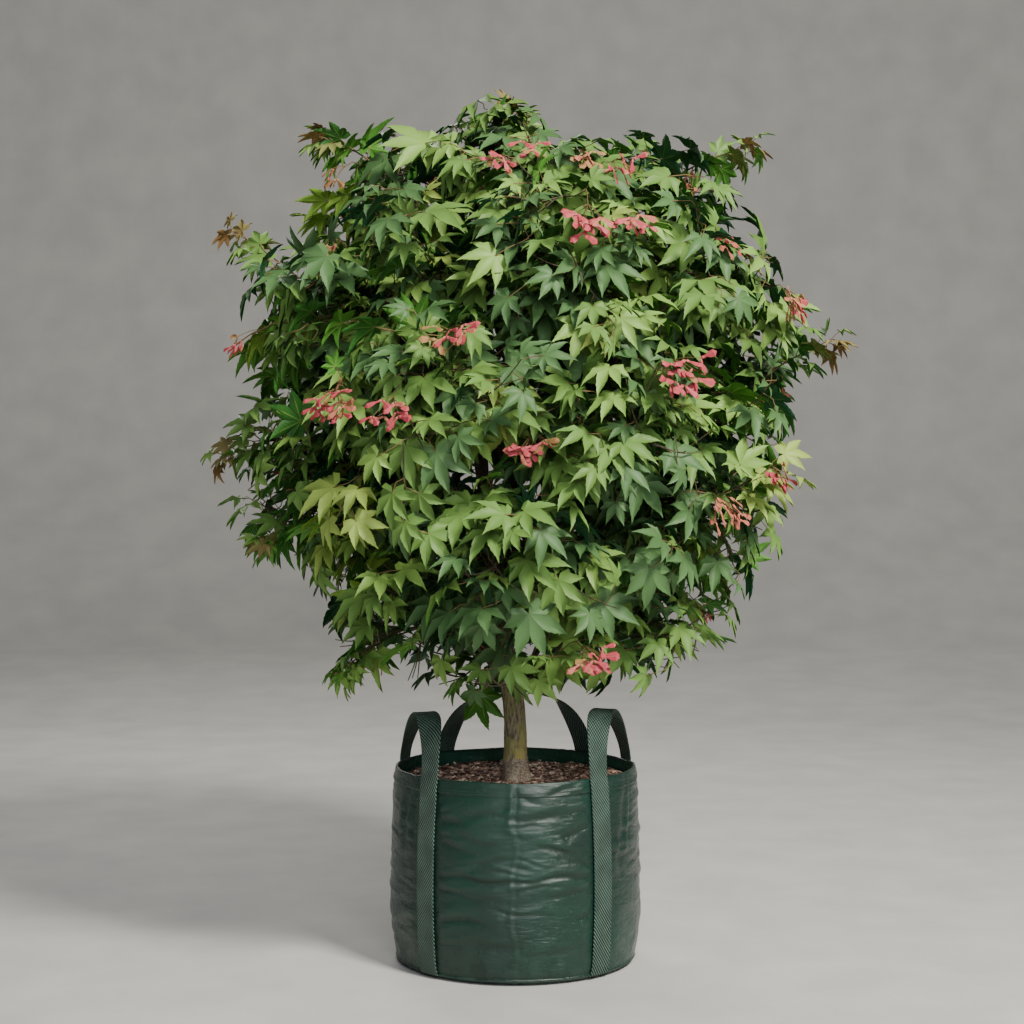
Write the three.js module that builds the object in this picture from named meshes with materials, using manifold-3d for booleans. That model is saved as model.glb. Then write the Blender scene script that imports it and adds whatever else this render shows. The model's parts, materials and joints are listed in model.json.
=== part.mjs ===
// A young maple about 1.5 m tall, in a round nursery bag of woven plastic with three webbing handles.
// The short trunk stands on the root ball that fills the bag, and forks low into three leaders. Boughs
// leave the trunk and the leaders, and each carries one mass of leafy twigs with winged seeds among them.
// Millimetres, +Z up, +X to the right seen from the front, and the front faces -Y. The origin is the
// centre of the bag's flat underside.
import * as THREE from "three";
import { mergeVertices } from "three/addons/utils/BufferGeometryUtils.js";
import Module from "manifold-3d";

const wasm = await Module();
wasm.setup();

const GAP = 0.3; // clearance between neighbouring pieces
const SHORTEST_EDGE = 0.05; // shorter edges are closed up where pieces are joined
const TAU = Math.PI * 2;

// The bag: a round wall that bulges between a sewn foot and a hemmed rim.
const BAG = {
  height: 342,
  footRadius: 212,
  rimRadius: 208,
  bulge: 11, // how far the wall swells beyond the straight line from foot to rim
  corner: 12, // radius of the rounded edge at the foot
  wall: 3,
  floorRound: 4, // the floor turns up into the wall over this height
  hemHeight: 24,
  hemStandOut: 1.4,
  hemRound: 1.5, // the rim's outer edge is eased by this much
  pinch: 3, // how far the rim is drawn out at its left and right
  sides: 36,
  levels: 4, // steps of its wall between foot and hem
  cornerLevels: 2, // steps of the rounded edge
  lining: 0.7, // room between the wall and the root ball
};

// The root ball fills the bag to a little below the rim.
const SOIL_LEVEL = 312;
const SOIL_RISE = 5; // the surface is this much higher at the wall
const SOIL_FLAT = 36; // radius of the level ground round the trunk

// Webbing handles: each is one strap that is sewn down the wall on both sides of its loop.
const STRAP = { width: 41, thickness: 2.6, standOff: 0.6, straight: 6, loopSteps: 12 };
// A handle's legs stand at two bearings from the front. The loop between them rises above the rim, peaks
// at a share of the way across, and may lean outward and tilt its top face. A squarer loop has fuller
// shoulders.
const HANDLES = [
  { name: "handle_left", from: -44, to: -110, rise: 102, peak: 0.3, square: 0.25, lean: -6, tilt: 0 },
  { name: "handle_right", from: 42, to: 110, rise: 108, peak: 0.3, square: 0.25, lean: -6, tilt: 0 },
  { name: "handle_back", from: 143, to: 218, rise: 124, peak: 0.5, square: 0.5, lean: 14, tilt: 42 },
];

// The trunk leans a little to the left, from a flared foot to its fork.
const TRUNK = {
  foot: SOIL_LEVEL + GAP,
  fork: 592,
  lean: [-30, 4], // of its fork, to the right and to the back
  footRadius: 23.5,
  radius: 21.3,
  forkRadius: 15.5,
  flareHeight: 46,
  flare: 6.5,
  buttresses: 3,
  steps: 9,
  sides: 12,
};

// Leaders: where each leaves the trunk, where it ends, and how its sideways reach builds up.
const LEADERS = [
  { name: "leader_left", from: 0.97, end: [-26, -8, 1330], sway: [-34, -12], curve: 1.0, radius: 14.5 },
  { name: "leader_right", from: 0.84, end: [222, -4, 1250], sway: [-22, 14], curve: 1.25, radius: 13.0 },
  { name: "leader_back", from: 0.9, end: [32, 196, 1215], sway: [0, 12], curve: 1.2, radius: 11.5 },
];
const LEADER = { tipRadius: 4.2, steps: 8, sides: 6 };
// A bough ends a share of a mass's half width short of the mass's middle, and starts lower than it ends by
// a share of its run.
const BOUGH = { radius: 6.6, tipRadius: 3.6, steps: 4, sides: 4, short: 0.56, climb: 0.75, lowest: 150 };

// The crown's outer surface, as two half ellipsoids that meet at its widest level.
const CROWN = { widest: 1050, top: 1530, bottom: 350, halfWidth: 522, halfDepth: 485, axis: 14, fray: 1.08 };

// Tiers of foliage masses: the mean level of their middles, how many stand round, the bearing of the first
// one in degrees from +X towards +Y, and how far their middles lie inside the crown's surface.
const TIERS = [
  { name: "skirt", level: 542, count: 5, bearing: 54, inset: 165 },
  { name: "lower", level: 752, count: 5, bearing: 46, inset: 160 },
  { name: "middle", level: 952, count: 6, bearing: 2, inset: 160 },
  { name: "upper", level: 1158, count: 5, bearing: 350, inset: 160 },
  { name: "crest", level: 1342, count: 4, bearing: 8, inset: 176 },
  { name: "top", level: 1432, count: 1, bearing: 180, inset: 0 },
];
const TIER_STAGGER = 34; // neighbours in a tier stand this much above and below its level
const MASS = { halfWidth: 236, halfHeight: 172, clear: 2, leaves: 18 };
const SEEDS = { tiers: 41, masses: 700, step: 13 }; // of the repeatable streams of numbers

// Twigs stand on a stem in opposite pairs, and leaves on the twigs.
const STEM = { radii: [5, 3.6], forks: [[1, 0.2], [1, 0.75], [2, 0.25], [2, 0.8]] };
const TWIG = { angle: [30, 85], spread: 70, length: [50, 130], radii: [1.9, 1.9], fork: 0.42, clear: 1.5 };
const LEAF = { length: 112, thickness: 5.4, droop: 0.13, stalk: [20, 50], radii: [0.95, 1.4], tries: 60 };
// How strongly a leaf's midrib runs outward, along its twig and down, and how its face turns to the light.
const LEAF_LEAN = { outward: 0.6, along: 0.75, down: 0.62, downSpread: 0.8 };
const LEAF_FACE = { outward: 0.62, up: 0.78, spread: 0.8 };
const SHOOT_LEAF = 48; // leaves on the long shoots are young and small
const SEED = { length: 56, thickness: 4, stalk: 44, radii: [1.2, 1.2] };

// Outlines of a leaf and of a pair of winged seeds: the tips and the bays between them, as (bearing from
// the midrib, share of the length) pairs. The stalk comes in between the last point and the first.
const LEAF_OUTLINE = [
  [112, 0.5],
  [52, 0.92],
  [27, 0.47],
  [0, 1],
  [-27, 0.47],
  [-52, 0.92],
  [-112, 0.5],
];
const SEED_OUTLINE = [
  [88, 0.42],
  [66, 1],
  [46, 0.92],
  [0, 0.22],
  [-46, 0.92],
  [-66, 1],
  [-88, 0.42],
];

// Long shoots that stand out of the crown, by their tips.
const SHOOT_TIPS = [
  [28, -12, 1556],
  [-505, -40, 1296],
  [-352, -30, 1462],
  [424, -30, 1446],
  [570, -40, 1106],
  [-528, -60, 892],
  [-446, -90, 738],
  [-306, -130, 512],
];
// Masses that carry a bunch of winged seeds, by tier and place in it.
const SEEDED = [
  ...["middle_2", "middle_3", "middle_4", "middle_5"],
  ...["upper_1", "upper_2", "upper_4", "upper_5"],
  ...["lower_1", "lower_4", "lower_5", "crest_1", "crest_4", "skirt_5"],
];

const COLOURS = {
  bag: { color: 0x1f4a37, roughness: 0.35 },
  strap: { color: 0x2c5445, roughness: 0.8 },
  soil: { color: 0x4a2f22, roughness: 0.95 },
  bark: { color: 0x7a6b4a, roughness: 0.85 },
  wood: { color: 0x4b4130, roughness: 0.8 },
  leaf: { color: 0x4c7a35, roughness: 0.6 },
};

const radians = (degrees) => (degrees * Math.PI) / 180;
const mix = (a, b, t) => a + (b - a) * t;
const point = (x, y, z) => new THREE.Vector3(x, y, z);

// The ends of a range and the even steps between them.
function evenly(low, high, count) {
  return Array.from({ length: count + 1 }, (_, i) => mix(low, high, i / count));
}

function smooth(low, high, value) {
  const t = Math.min(1, Math.max(0, (value - low) / (high - low)));
  return t * t * (3 - 2 * t);
}

// A repeatable stream of numbers from 0 to 1.
function randomStream(seed) {
  let state = seed >>> 0;
  return () => {
    state = (Math.imul(state, 1664525) + 1013904223) >>> 0;
    return state / 4294967296;
  };
}

// A closed geometry as a manifold solid.
function solidOf(geometry) {
  const bare = geometry.clone();
  bare.deleteAttribute("normal");
  bare.deleteAttribute("uv");
  const merged = mergeVertices(bare, 1e-3);
  return new wasm.Manifold(
    new wasm.Mesh({
      numProp: 3,
      vertProperties: merged.attributes.position.array,
      triVerts: new Uint32Array(merged.index.array),
    }),
  );
}

function geometryOf(solid) {
  const mesh = solid.getMesh();
  const positions = new Float32Array(mesh.numVert * 3);
  for (let i = 0; i < mesh.numVert; i++) {
    positions.set(mesh.vertProperties.subarray(i * mesh.numProp, i * mesh.numProp + 3), i * 3);
  }
  const geometry = new THREE.BufferGeometry();
  geometry.setAttribute("position", new THREE.BufferAttribute(positions, 3));
  geometry.setIndex(new THREE.BufferAttribute(mesh.triVerts, 1));
  return geometry;
}

const group = new THREE.Group();

function addPiece(name, geometry, look) {
  geometry.computeVertexNormals();
  const piece = new THREE.Mesh(geometry, new THREE.MeshStandardMaterial(look));
  piece.name = name;
  group.add(piece);
}

function meshOf(points, index) {
  const geometry = new THREE.BufferGeometry();
  const positions = points.flatMap((p) => [p.x, p.y, p.z]);
  geometry.setAttribute("position", new THREE.Float32BufferAttribute(positions, 3));
  geometry.setIndex(index);
  return geometry;
}

// The faces between rings that all have the same number of points, with a flat fan over the first. The
// faces of one side may be split the other way, so that both faces of a twisted strap stay parallel.
function sleeveIndex(rings, otherWay = -1) {
  const sides = rings[0].length;
  const index = [];
  for (let ring = 0; ring + 1 < rings.length; ring++) {
    for (let side = 0; side < sides; side++) {
      const a = ring * sides + side;
      const b = ring * sides + ((side + 1) % sides);
      if (side === otherWay) index.push(a, b, a + sides, b, b + sides, a + sides);
      else index.push(a, b, b + sides, a, b + sides, a + sides);
    }
  }
  for (let side = 1; side + 1 < sides; side++) index.push(0, side + 1, side);
  return index;
}

// A closed skin over rings, with a flat fan at each end.
function skinOf(rings, otherWay) {
  const index = sleeveIndex(rings, otherWay);
  const last = (rings.length - 1) * rings[0].length;
  for (let side = 1; side + 1 < rings[0].length; side++) index.push(last, last + side, last + side + 1);
  return meshOf(rings.flat(), index);
}

// Two unit directions square to a heading, the first as near level as it can be.
function crossDirections(heading) {
  const level = Math.abs(heading.z) > 0.95 ? point(1, 0, 0) : point(0, 0, 1);
  const side = new THREE.Vector3().crossVectors(level, heading).normalize();
  return [side, new THREE.Vector3().crossVectors(heading, side).normalize()];
}

// A tapering limb along a curve. radiusAt gives the radius from the share along it and the angle round,
// and overrun lengthens it past its end.
function limbOf(curve, steps, sides, radiusAt, overrun = 0) {
  const heading = curve.getTangent(0);
  let side = crossDirections(heading)[0];
  const rings = [];
  for (let step = 0; step <= steps; step++) {
    const t = step / steps;
    const along = curve.getTangent(t);
    side = side.addScaledVector(along, -side.dot(along)).normalize();
    const across = new THREE.Vector3().crossVectors(along, side);
    const middle = curve.getPoint(t).addScaledVector(along, step === steps ? overrun : 0);
    rings.push(
      Array.from({ length: sides }, (_, k) => {
        const angle = (TAU * k) / sides;
        const radius = radiusAt(t, angle);
        return middle
          .clone()
          .addScaledVector(side, radius * Math.cos(angle))
          .addScaledVector(across, radius * Math.sin(angle));
      }),
    );
  }
  return skinOf(rings);
}

// The bag's outer radius at a level, and the shaping of its round section.
function bagRadius(z) {
  const t = Math.max(0, (z - BAG.corner) / (BAG.height - BAG.corner));
  const straight = mix(BAG.footRadius, BAG.rimRadius, t);
  const swollen = straight + BAG.bulge * Math.sin(Math.PI * Math.min(1, t)) ** 0.6;
  if (z >= BAG.corner) return swollen;
  const rest = 1 - z / BAG.corner;
  return swollen - BAG.corner * (1 - Math.sqrt(1 - rest * rest));
}

function bagShape(x, y, z) {
  const radius = Math.hypot(x, y);
  if (radius < 1) return 1;
  const sideways = (x / radius) ** 8;
  return 1 + (BAG.pinch / BAG.rimRadius) * sideways * smooth(BAG.height * 0.55, BAG.height, z);
}

// Turns a profile of (radius, level) pairs round the upright axis and gives it the bag's section.
function turned(profile) {
  const points = profile.map(([radius, z]) => new THREE.Vector2(radius, z));
  const geometry = new THREE.LatheGeometry(points, BAG.sides).rotateX(Math.PI / 2);
  const place = geometry.attributes.position;
  for (let i = 0; i < place.count; i++) {
    const scale = bagShape(place.getX(i), place.getY(i), place.getZ(i));
    place.setXY(i, place.getX(i) * scale, place.getY(i) * scale);
  }
  return geometry;
}

const HEM_FOOT = BAG.height - BAG.hemHeight;
const CORNER_LEVELS = evenly(0, BAG.corner, BAG.cornerLevels).slice(0, -1);
const WALL_LEVELS = evenly(BAG.corner, HEM_FOOT, BAG.levels);

function bagGeometry() {
  const outer = [...CORNER_LEVELS, ...WALL_LEVELS].map((z) => [bagRadius(z), z]);
  const hem = [HEM_FOOT + 1, BAG.height - BAG.hemRound].map((z) => [bagRadius(z) + BAG.hemStandOut, z]);
  const rim = [
    [bagRadius(BAG.height) + BAG.hemStandOut / 2, BAG.height],
    [bagRadius(BAG.height) - BAG.wall, BAG.height],
  ];
  const inner = WALL_LEVELS.toReversed().map((z) => [bagRadius(z) - BAG.wall, z]);
  const floor = [
    [bagRadius(BAG.wall) - BAG.wall, BAG.wall + BAG.floorRound],
    [bagRadius(0) - BAG.wall, BAG.wall],
  ];
  return turned([[0, 0], ...outer, ...hem, ...rim, ...inner, ...floor, [0, BAG.wall]]);
}

function soilGeometry() {
  const inside = (z) => bagRadius(z) - BAG.wall - BAG.lining;
  const foot = BAG.wall + GAP;
  const side = WALL_LEVELS.map((z) => Math.min(z, SOIL_LEVEL + SOIL_RISE)).map((z) => [inside(z), z]);
  return turned([
    [0, foot],
    [bagRadius(0) - BAG.wall - 1, foot],
    [inside(BAG.wall) - 1, foot + BAG.floorRound],
    ...side,
    [inside(SOIL_LEVEL) * 0.7, SOIL_LEVEL + 2],
    [SOIL_FLAT, SOIL_LEVEL],
    [0, SOIL_LEVEL],
  ]);
}

// A point on the bag's wall, and the outward direction there. Bearings are from the front, to the right.
function onWall(bearing, z, standOff) {
  const angle = radians(bearing);
  const outward = point(Math.sin(angle), -Math.cos(angle), 0);
  const radius = bagRadius(z) + (z > BAG.height - BAG.hemHeight ? BAG.hemStandOut : 0);
  const place = outward.clone().multiplyScalar(radius);
  place.multiplyScalar(bagShape(place.x, place.y, z));
  return place.addScaledVector(outward, standOff).setZ(z);
}

// The strap's middle line with the direction across it: up the wall, over the loop and down again.
function strapStations(handle) {
  const standOff = STRAP.standOff + STRAP.thickness / 2;
  const quarter = (STRAP.width / BAG.rimRadius) * (90 / Math.PI);
  const along = (bearing, z) => ({
    middle: onWall(bearing, z, standOff),
    across: onWall(bearing + quarter, z, 0).sub(onWall(bearing - quarter, z, 0)).normalize(),
  });
  const loopFoot = BAG.height + STRAP.straight;
  const levels = [...CORNER_LEVELS.slice(1), ...WALL_LEVELS, HEM_FOOT + 1, loopFoot];
  const start = onWall(handle.from, loopFoot, standOff);
  const end = onWall(handle.to, loopFoot, standOff);
  const outward = point(start.x + end.x, start.y + end.y, 0).normalize();
  const turn = handle.to > handle.from ? -180 : 180;
  const loop = evenly(0, 1, STRAP.loopSteps).slice(1, -1).map((t) => {
    const arch = Math.sin(Math.PI * t);
    const eased = mix(t, (1 - Math.cos(Math.PI * t)) / 2, handle.square);
    const drawn = eased ** (Math.log(handle.peak) / Math.log(0.5));
    const middle = start
      .clone()
      .lerp(end, drawn)
      .addScaledVector(outward, handle.lean * arch)
      .setZ(loopFoot + (handle.rise - STRAP.straight) * arch ** 0.85);
    const angle = radians(mix(handle.from, handle.to + turn, smooth(0, 1, t)));
    const rise = radians(handle.tilt) * arch ** 2;
    const across = point(Math.cos(angle) * Math.cos(rise), Math.sin(angle) * Math.cos(rise), Math.sin(rise));
    return { middle, across };
  });
  const up = levels.map((z) => along(handle.from, z));
  const down = levels.toReversed().map((z) => along(handle.to, z));
  down.forEach((station) => station.across.negate());
  return [...up, ...loop, ...down];
}

function strapGeometry(handle) {
  const stations = strapStations(handle);
  const rings = stations.map(({ middle, across }, i) => {
    const before = stations[Math.max(0, i - 1)].middle;
    const after = stations[Math.min(stations.length - 1, i + 1)].middle;
    const heading = after.clone().sub(before).normalize();
    const face = new THREE.Vector3().crossVectors(across, heading).normalize();
    const edge = new THREE.Vector3().crossVectors(heading, face).normalize();
    const corner = (u, v) =>
      middle
        .clone()
        .addScaledVector(edge, (u * STRAP.width) / 2)
        .addScaledVector(face, (v * STRAP.thickness) / 2);
    return [corner(-1, -1), corner(-1, 1), corner(1, 1), corner(1, -1)];
  });
  return skinOf(rings, 3);
}

// The trunk's middle line: upright at the ground, then leaning.
const trunkCurve = new THREE.CatmullRomCurve3([
  point(0, 0, TRUNK.foot),
  point(0, 0, mix(TRUNK.foot, TRUNK.fork, 0.22)),
  point(TRUNK.lean[0] * 0.12, 0, mix(TRUNK.foot, TRUNK.fork, 0.5)),
  point(TRUNK.lean[0] * 0.55, TRUNK.lean[1] * 0.5, mix(TRUNK.foot, TRUNK.fork, 0.78)),
  point(TRUNK.lean[0], TRUNK.lean[1], TRUNK.fork),
]);

function trunkRadius(t) {
  const bare = mix(TRUNK.radius, TRUNK.forkRadius, t);
  return t < 0.2 ? mix(TRUNK.footRadius, bare, smooth(0, 0.2, t)) : bare;
}

function trunkGeometry(extra) {
  const height = TRUNK.fork - TRUNK.foot;
  const radiusAt = (t, angle) => {
    const near = (1 - smooth(0, TRUNK.flareHeight / height, t)) ** 2;
    const lobe = 0.5 + 0.5 * Math.cos(TRUNK.buttresses * angle + 0.8);
    return trunkRadius(t) + TRUNK.flare * near * lobe + extra;
  };
  return limbOf(trunkCurve, TRUNK.steps, TRUNK.sides, radiusAt, extra);
}

function leaderCurve(leader) {
  const start = trunkCurve.getPoint(leader.from);
  const end = point(...leader.end);
  const points = Array.from({ length: 7 }, (_, i) => {
    const t = i / 6;
    const reach = Math.sin((Math.PI / 2) * t) ** leader.curve;
    const bend = Math.sin(Math.PI * t);
    return point(
      mix(start.x, end.x, reach) + leader.sway[0] * bend,
      mix(start.y, end.y, reach) + leader.sway[1] * bend,
      mix(start.z, end.z, t),
    );
  });
  return new THREE.CatmullRomCurve3(points);
}

// Every limb above the trunk: its name, curve, radii and the steps and sides of its solid.
const limbs = LEADERS.map((leader) => {
  return { ...LEADER, name: leader.name, curve: leaderCurve(leader), radius: leader.radius };
});

// How far the crown reaches from its axis at a level, in a bearing.
function crownReach(z, bearing) {
  const half = z > CROWN.widest ? CROWN.top - CROWN.widest : CROWN.widest - CROWN.bottom;
  const level = Math.min(1, Math.abs(z - CROWN.widest) / half);
  const width = Math.hypot(CROWN.halfWidth * Math.cos(bearing), CROWN.halfDepth * Math.sin(bearing));
  return Math.sqrt(1 - level * level) * width;
}

// The masses of foliage, tier by tier, each with its middle and its outward direction.
const masses = [];
TIERS.forEach((tier, tierIndex) => {
  const random = randomStream(SEEDS.tiers + tierIndex);
  for (let i = 0; i < tier.count; i++) {
    const bearing = radians(tier.bearing + (360 / tier.count) * i + (random() - 0.5) * 12);
    const alone = tier.count === 1;
    const stagger = alone ? 0 : (i % 2 ? -TIER_STAGGER : TIER_STAGGER) + (random() - 0.5) * 20;
    const level = tier.level + stagger;
    const distance = alone ? 0 : crownReach(level, bearing) - tier.inset;
    masses.push({
      name: alone ? tier.name : `${tier.name}_${i + 1}`,
      distance,
      middle: point(CROWN.axis + distance * Math.cos(bearing), distance * Math.sin(bearing), level),
      outward: point(Math.cos(bearing), Math.sin(bearing), 0),
      bearing,
    });
  }
});

// The place on a limb nearest to a level.
function shareAtLevel(limb, z) {
  let best = 0;
  for (let i = 0; i <= 60; i++) {
    const here = Math.abs(limb.curve.getPoint(i / 60).z - z);
    if (here < Math.abs(limb.curve.getPoint(best).z - z)) best = i / 60;
  }
  return best;
}

const trunkLimb = { name: "trunk", curve: trunkCurve, radius: TRUNK.radius, tipRadius: TRUNK.forkRadius };
const carriers = [trunkLimb, ...limbs];

function limbRadius(limb, share) {
  return mix(limb.radius, limb.tipRadius, share);
}

// The limb that passes nearest to a place at its level, and the share along it there.
function carrierOf(foot) {
  const choices = carriers.map((limb) => {
    const share = shareAtLevel(limb, foot.z);
    return { limb, share, away: limb.curve.getPoint(share).distanceTo(foot) };
  });
  return choices.reduce((best, next) => (next.away < best.away ? next : best));
}

// A mass at a leader's tip stands on it. Any other gets a bough, from the nearest limb that is low enough.
const TIPPED = { top: "leader_left", crest_1: "leader_right", crest_2: "leader_back" };
masses.forEach((mass) => {
  const leader = limbs.find((limb) => limb.name === TIPPED[mass.name]);
  if (leader) {
    mass.foot = leader.curve.getPoint(1);
    mass.heading = leader.curve.getTangent(1);
    return;
  }
  const inward = Math.min(MASS.halfWidth * BOUGH.short, mass.distance * 0.5);
  const foot = mass.middle.clone().addScaledVector(mass.outward, -inward);
  const drop = 24 + Math.hypot(foot.x, foot.y) * BOUGH.climb;
  const carrier = carrierOf(foot.clone().setZ(Math.max(foot.z - drop, TRUNK.foot + BOUGH.lowest)));
  const start = carrier.limb.curve.getPoint(carrier.share);
  const rise = Math.min(60, 0.3 * start.distanceTo(foot));
  const curve = new THREE.CatmullRomCurve3([
    start,
    start.clone().lerp(foot, 0.34).add(point(0, 0, -rise * 0.05)),
    start.clone().lerp(foot, 0.7).add(point(0, 0, rise * 0.12)),
    foot,
  ]);
  const radius = Math.min(BOUGH.radius, limbRadius(carrier.limb, carrier.share) * 0.8);
  limbs.push({ ...BOUGH, name: `bough_${mass.name}`, curve, radius });
  mass.foot = foot;
  mass.heading = curve.getTangent(1);
});

function limbGeometry(limb, extra) {
  return limbOf(limb.curve, limb.steps, limb.sides, (t) => limbRadius(limb, t) + extra, extra);
}

// The largest connected body of a solid with its hollows filled and its shortest edges closed up.
function wholeBody(solid) {
  const bodies = solid.asOriginal().simplify(SHORTEST_EDGE).decompose();
  return bodies.reduce((best, next) => (next.volume() > best.volume() ? next : best));
}

// Each limb is cut clear of those made before it, so that a fork leaves only the gap.
const trunkSolid = solidOf(trunkGeometry(0));
let clearOf = solidOf(trunkGeometry(GAP));
const limbSolids = [];
limbs.forEach((limb) => {
  limbSolids.push(wholeBody(solidOf(limbGeometry(limb, 0)).subtract(clearOf)));
  clearOf = clearOf.add(solidOf(limbGeometry(limb, GAP)));
});

// The space of a mass: its own ellipsoid, no further than halfway to its neighbours' middles.
function roomIn(mass, place) {
  const offset = place.clone().sub(mass.middle);
  const level = Math.hypot(offset.x, offset.y) / MASS.halfWidth;
  const upright = offset.z / MASS.halfHeight;
  return Math.hypot(level, upright) <= 1 && ownGround(mass, place);
}

function ownGround(mass, place) {
  return masses.every((other) => {
    if (other === mass) return true;
    const between = other.middle.clone().sub(mass.middle);
    const apart = between.length();
    const halfway = place.clone().sub(mass.middle).dot(between) / apart;
    return halfway < apart / 2 - MASS.clear;
  });
}

// A three-sided stalk through a list of points that opens into a blade: a thin double cone over an
// outline, on the blade's midrib and face. Its edge droops away from the upper face.
function bladeGeometry(points, radii, blade) {
  const { outline, midrib, face, length, thickness, droop } = blade;
  const last = points.length - 1;
  const rings = [];
  let up = face;
  for (let i = last; i >= 0; i--) {
    const next = i < last ? points[i + 1].clone().sub(points[i]).normalize() : midrib;
    const before = i > 0 ? points[i].clone().sub(points[i - 1]).normalize() : next;
    const heading = next.clone().add(before).normalize();
    up = up.clone().addScaledVector(heading, -up.dot(heading)).normalize();
    const side = new THREE.Vector3().crossVectors(heading, up);
    const radius = mix(radii[0], radii[1], i / last);
    rings.unshift(
      [0, TAU / 3, (2 * TAU) / 3].map((angle) =>
        points[i]
          .clone()
          .addScaledVector(up, radius * Math.cos(angle))
          .addScaledVector(side, radius * Math.sin(angle)),
      ),
    );
  }
  const side = new THREE.Vector3().crossVectors(midrib, face);
  const back = Math.cos(radians(outline[0][0])) * outline[0][1];
  const hub = points[last].clone().addScaledVector(midrib, Math.max(2, (0.02 - back) * length));
  const at = (bearing, reach, lift) =>
    hub
      .clone()
      .addScaledVector(midrib, reach * Math.cos(radians(bearing)))
      .addScaledVector(side, reach * Math.sin(radians(bearing)))
      .addScaledVector(face, lift);
  const edge = outline.map(([bearing, reach]) => at(bearing, reach * length, -droop * reach * reach * length));
  const first = 3 * rings.length;
  const end = first + edge.length - 1;
  const [over, under] = [end + 1, end + 2];
  const [r0, r1, r2] = [first - 3, first - 2, first - 1];
  const index = sleeveIndex(rings);
  for (let i = first; i < end; i++) index.push(over, i, i + 1, under, i + 1, i);
  index.push(first, over, r0, r0, r1, first, under, first, r1, r1, r2, under);
  index.push(end, under, r2, over, end, r2, r2, r0, over);
  const hubs = [at(0, 0, thickness / 2), at(0, 0, -thickness / 2)];
  return meshOf([...rings.flat(), ...edge, ...hubs], index);
}

// A leaf hangs out and down from its twig, with its face to the light.
function leafFrame(hub, lean, random) {
  const outward = point(hub.x, hub.y, 0).normalize();
  const midrib = outward
    .clone()
    .multiplyScalar(LEAF_LEAN.outward)
    .addScaledVector(lean, LEAF_LEAN.along)
    .add(point(random() - 0.5, random() - 0.5, (random() - 0.5) * LEAF_LEAN.downSpread - LEAF_LEAN.down))
    .normalize();
  const aside = () => (random() - 0.5) * LEAF_FACE.spread;
  const face = outward.clone().multiplyScalar(LEAF_FACE.outward).add(point(aside(), aside(), LEAF_FACE.up));
  face.addScaledVector(midrib, -face.dot(midrib)).normalize();
  return { midrib, face };
}

// What a leaf or twig may not touch: the limbs, the trunk, the bag, its soil and the handles.
const bagSolid = solidOf(bagGeometry());
const soilSolid = solidOf(soilGeometry());
const strapSolids = HANDLES.map((handle) => solidOf(strapGeometry(handle)));
const obstacles = wasm.Manifold.union([trunkSolid, ...limbSolids, bagSolid, soilSolid, ...strapSolids]);

function touches(solid, reach) {
  return solid.minGap(obstacles, reach) < reach;
}

// Whether a place is within the crown's outer surface, or a little way out of it.
function inCrown(place) {
  const [x, y] = [place.x - CROWN.axis, place.y];
  return Math.hypot(x, y) < crownReach(place.z, Math.atan2(y, x)) * CROWN.fray;
}

// A shoot may leave its mass's own ellipsoid and the crown, but not the space between its neighbours.
function keepsToItsSpace(mass, geometry, isShoot) {
  const place = geometry.attributes.position;
  return evenly(0, place.count - 1, place.count - 1).every((i) => {
    const corner = new THREE.Vector3().fromBufferAttribute(place, i);
    return isShoot ? ownGround(mass, corner) : roomIn(mass, corner) && inCrown(corner);
  });
}

// The middles of all the blades on the tree so far.
const hubs = [];

// Adds a stalk with its blade to a plant, the best of a few tries: the one whose blade is furthest from
// all others on the tree, among those that keep to their mass's space, touch no limb and cross nothing.
function addBlade(mass, plant, isShoot, make) {
  const tries = Array.from({ length: LEAF.tries }, () => {
    const { points, radii, blade } = make();
    const hub = points.at(-1).clone().addScaledVector(blade.midrib, blade.length * 0.4);
    const apart = Math.min(...hubs.map((other) => other.distanceTo(hub)));
    return { points, radii, blade, hub, apart, geometry: bladeGeometry(points, radii, blade) };
  })
    .filter(({ geometry }) => keepsToItsSpace(mass, geometry, isShoot))
    .sort((one, other) => other.apart - one.apart);
  for (const { points, radii, blade, hub, geometry } of tries) {
    const [before, last] = points.slice(-2);
    const far = solidOf(bladeGeometry([before.clone().lerp(last, 0.5), last], radii, blade));
    if (plant.some((other) => far.minGap(other, 1) < 1)) continue;
    const solid = solidOf(geometry);
    if (touches(solid, TWIG.clear)) continue;
    plant.push(solid);
    hubs.push(hub);
    return points;
  }
  return null;
}

function leafBlade(hub, lean, length, random) {
  const { midrib, face } = leafFrame(hub, lean, random);
  return { ...LEAF, outline: LEAF_OUTLINE, midrib, face, length };
}

// A leaf on its own stalk, from a place on a twig.
function addLeaf(mass, plant, isShoot, start, lean, length, random) {
  addBlade(mass, plant, isShoot, () => {
    const blade = leafBlade(start, lean, length, random);
    const heading = lean.clone().add(blade.midrib).normalize();
    const end = start.clone().addScaledVector(heading, mix(...LEAF.stalk, random()));
    return { points: [start, end], radii: LEAF.radii, blade };
  });
}

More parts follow.
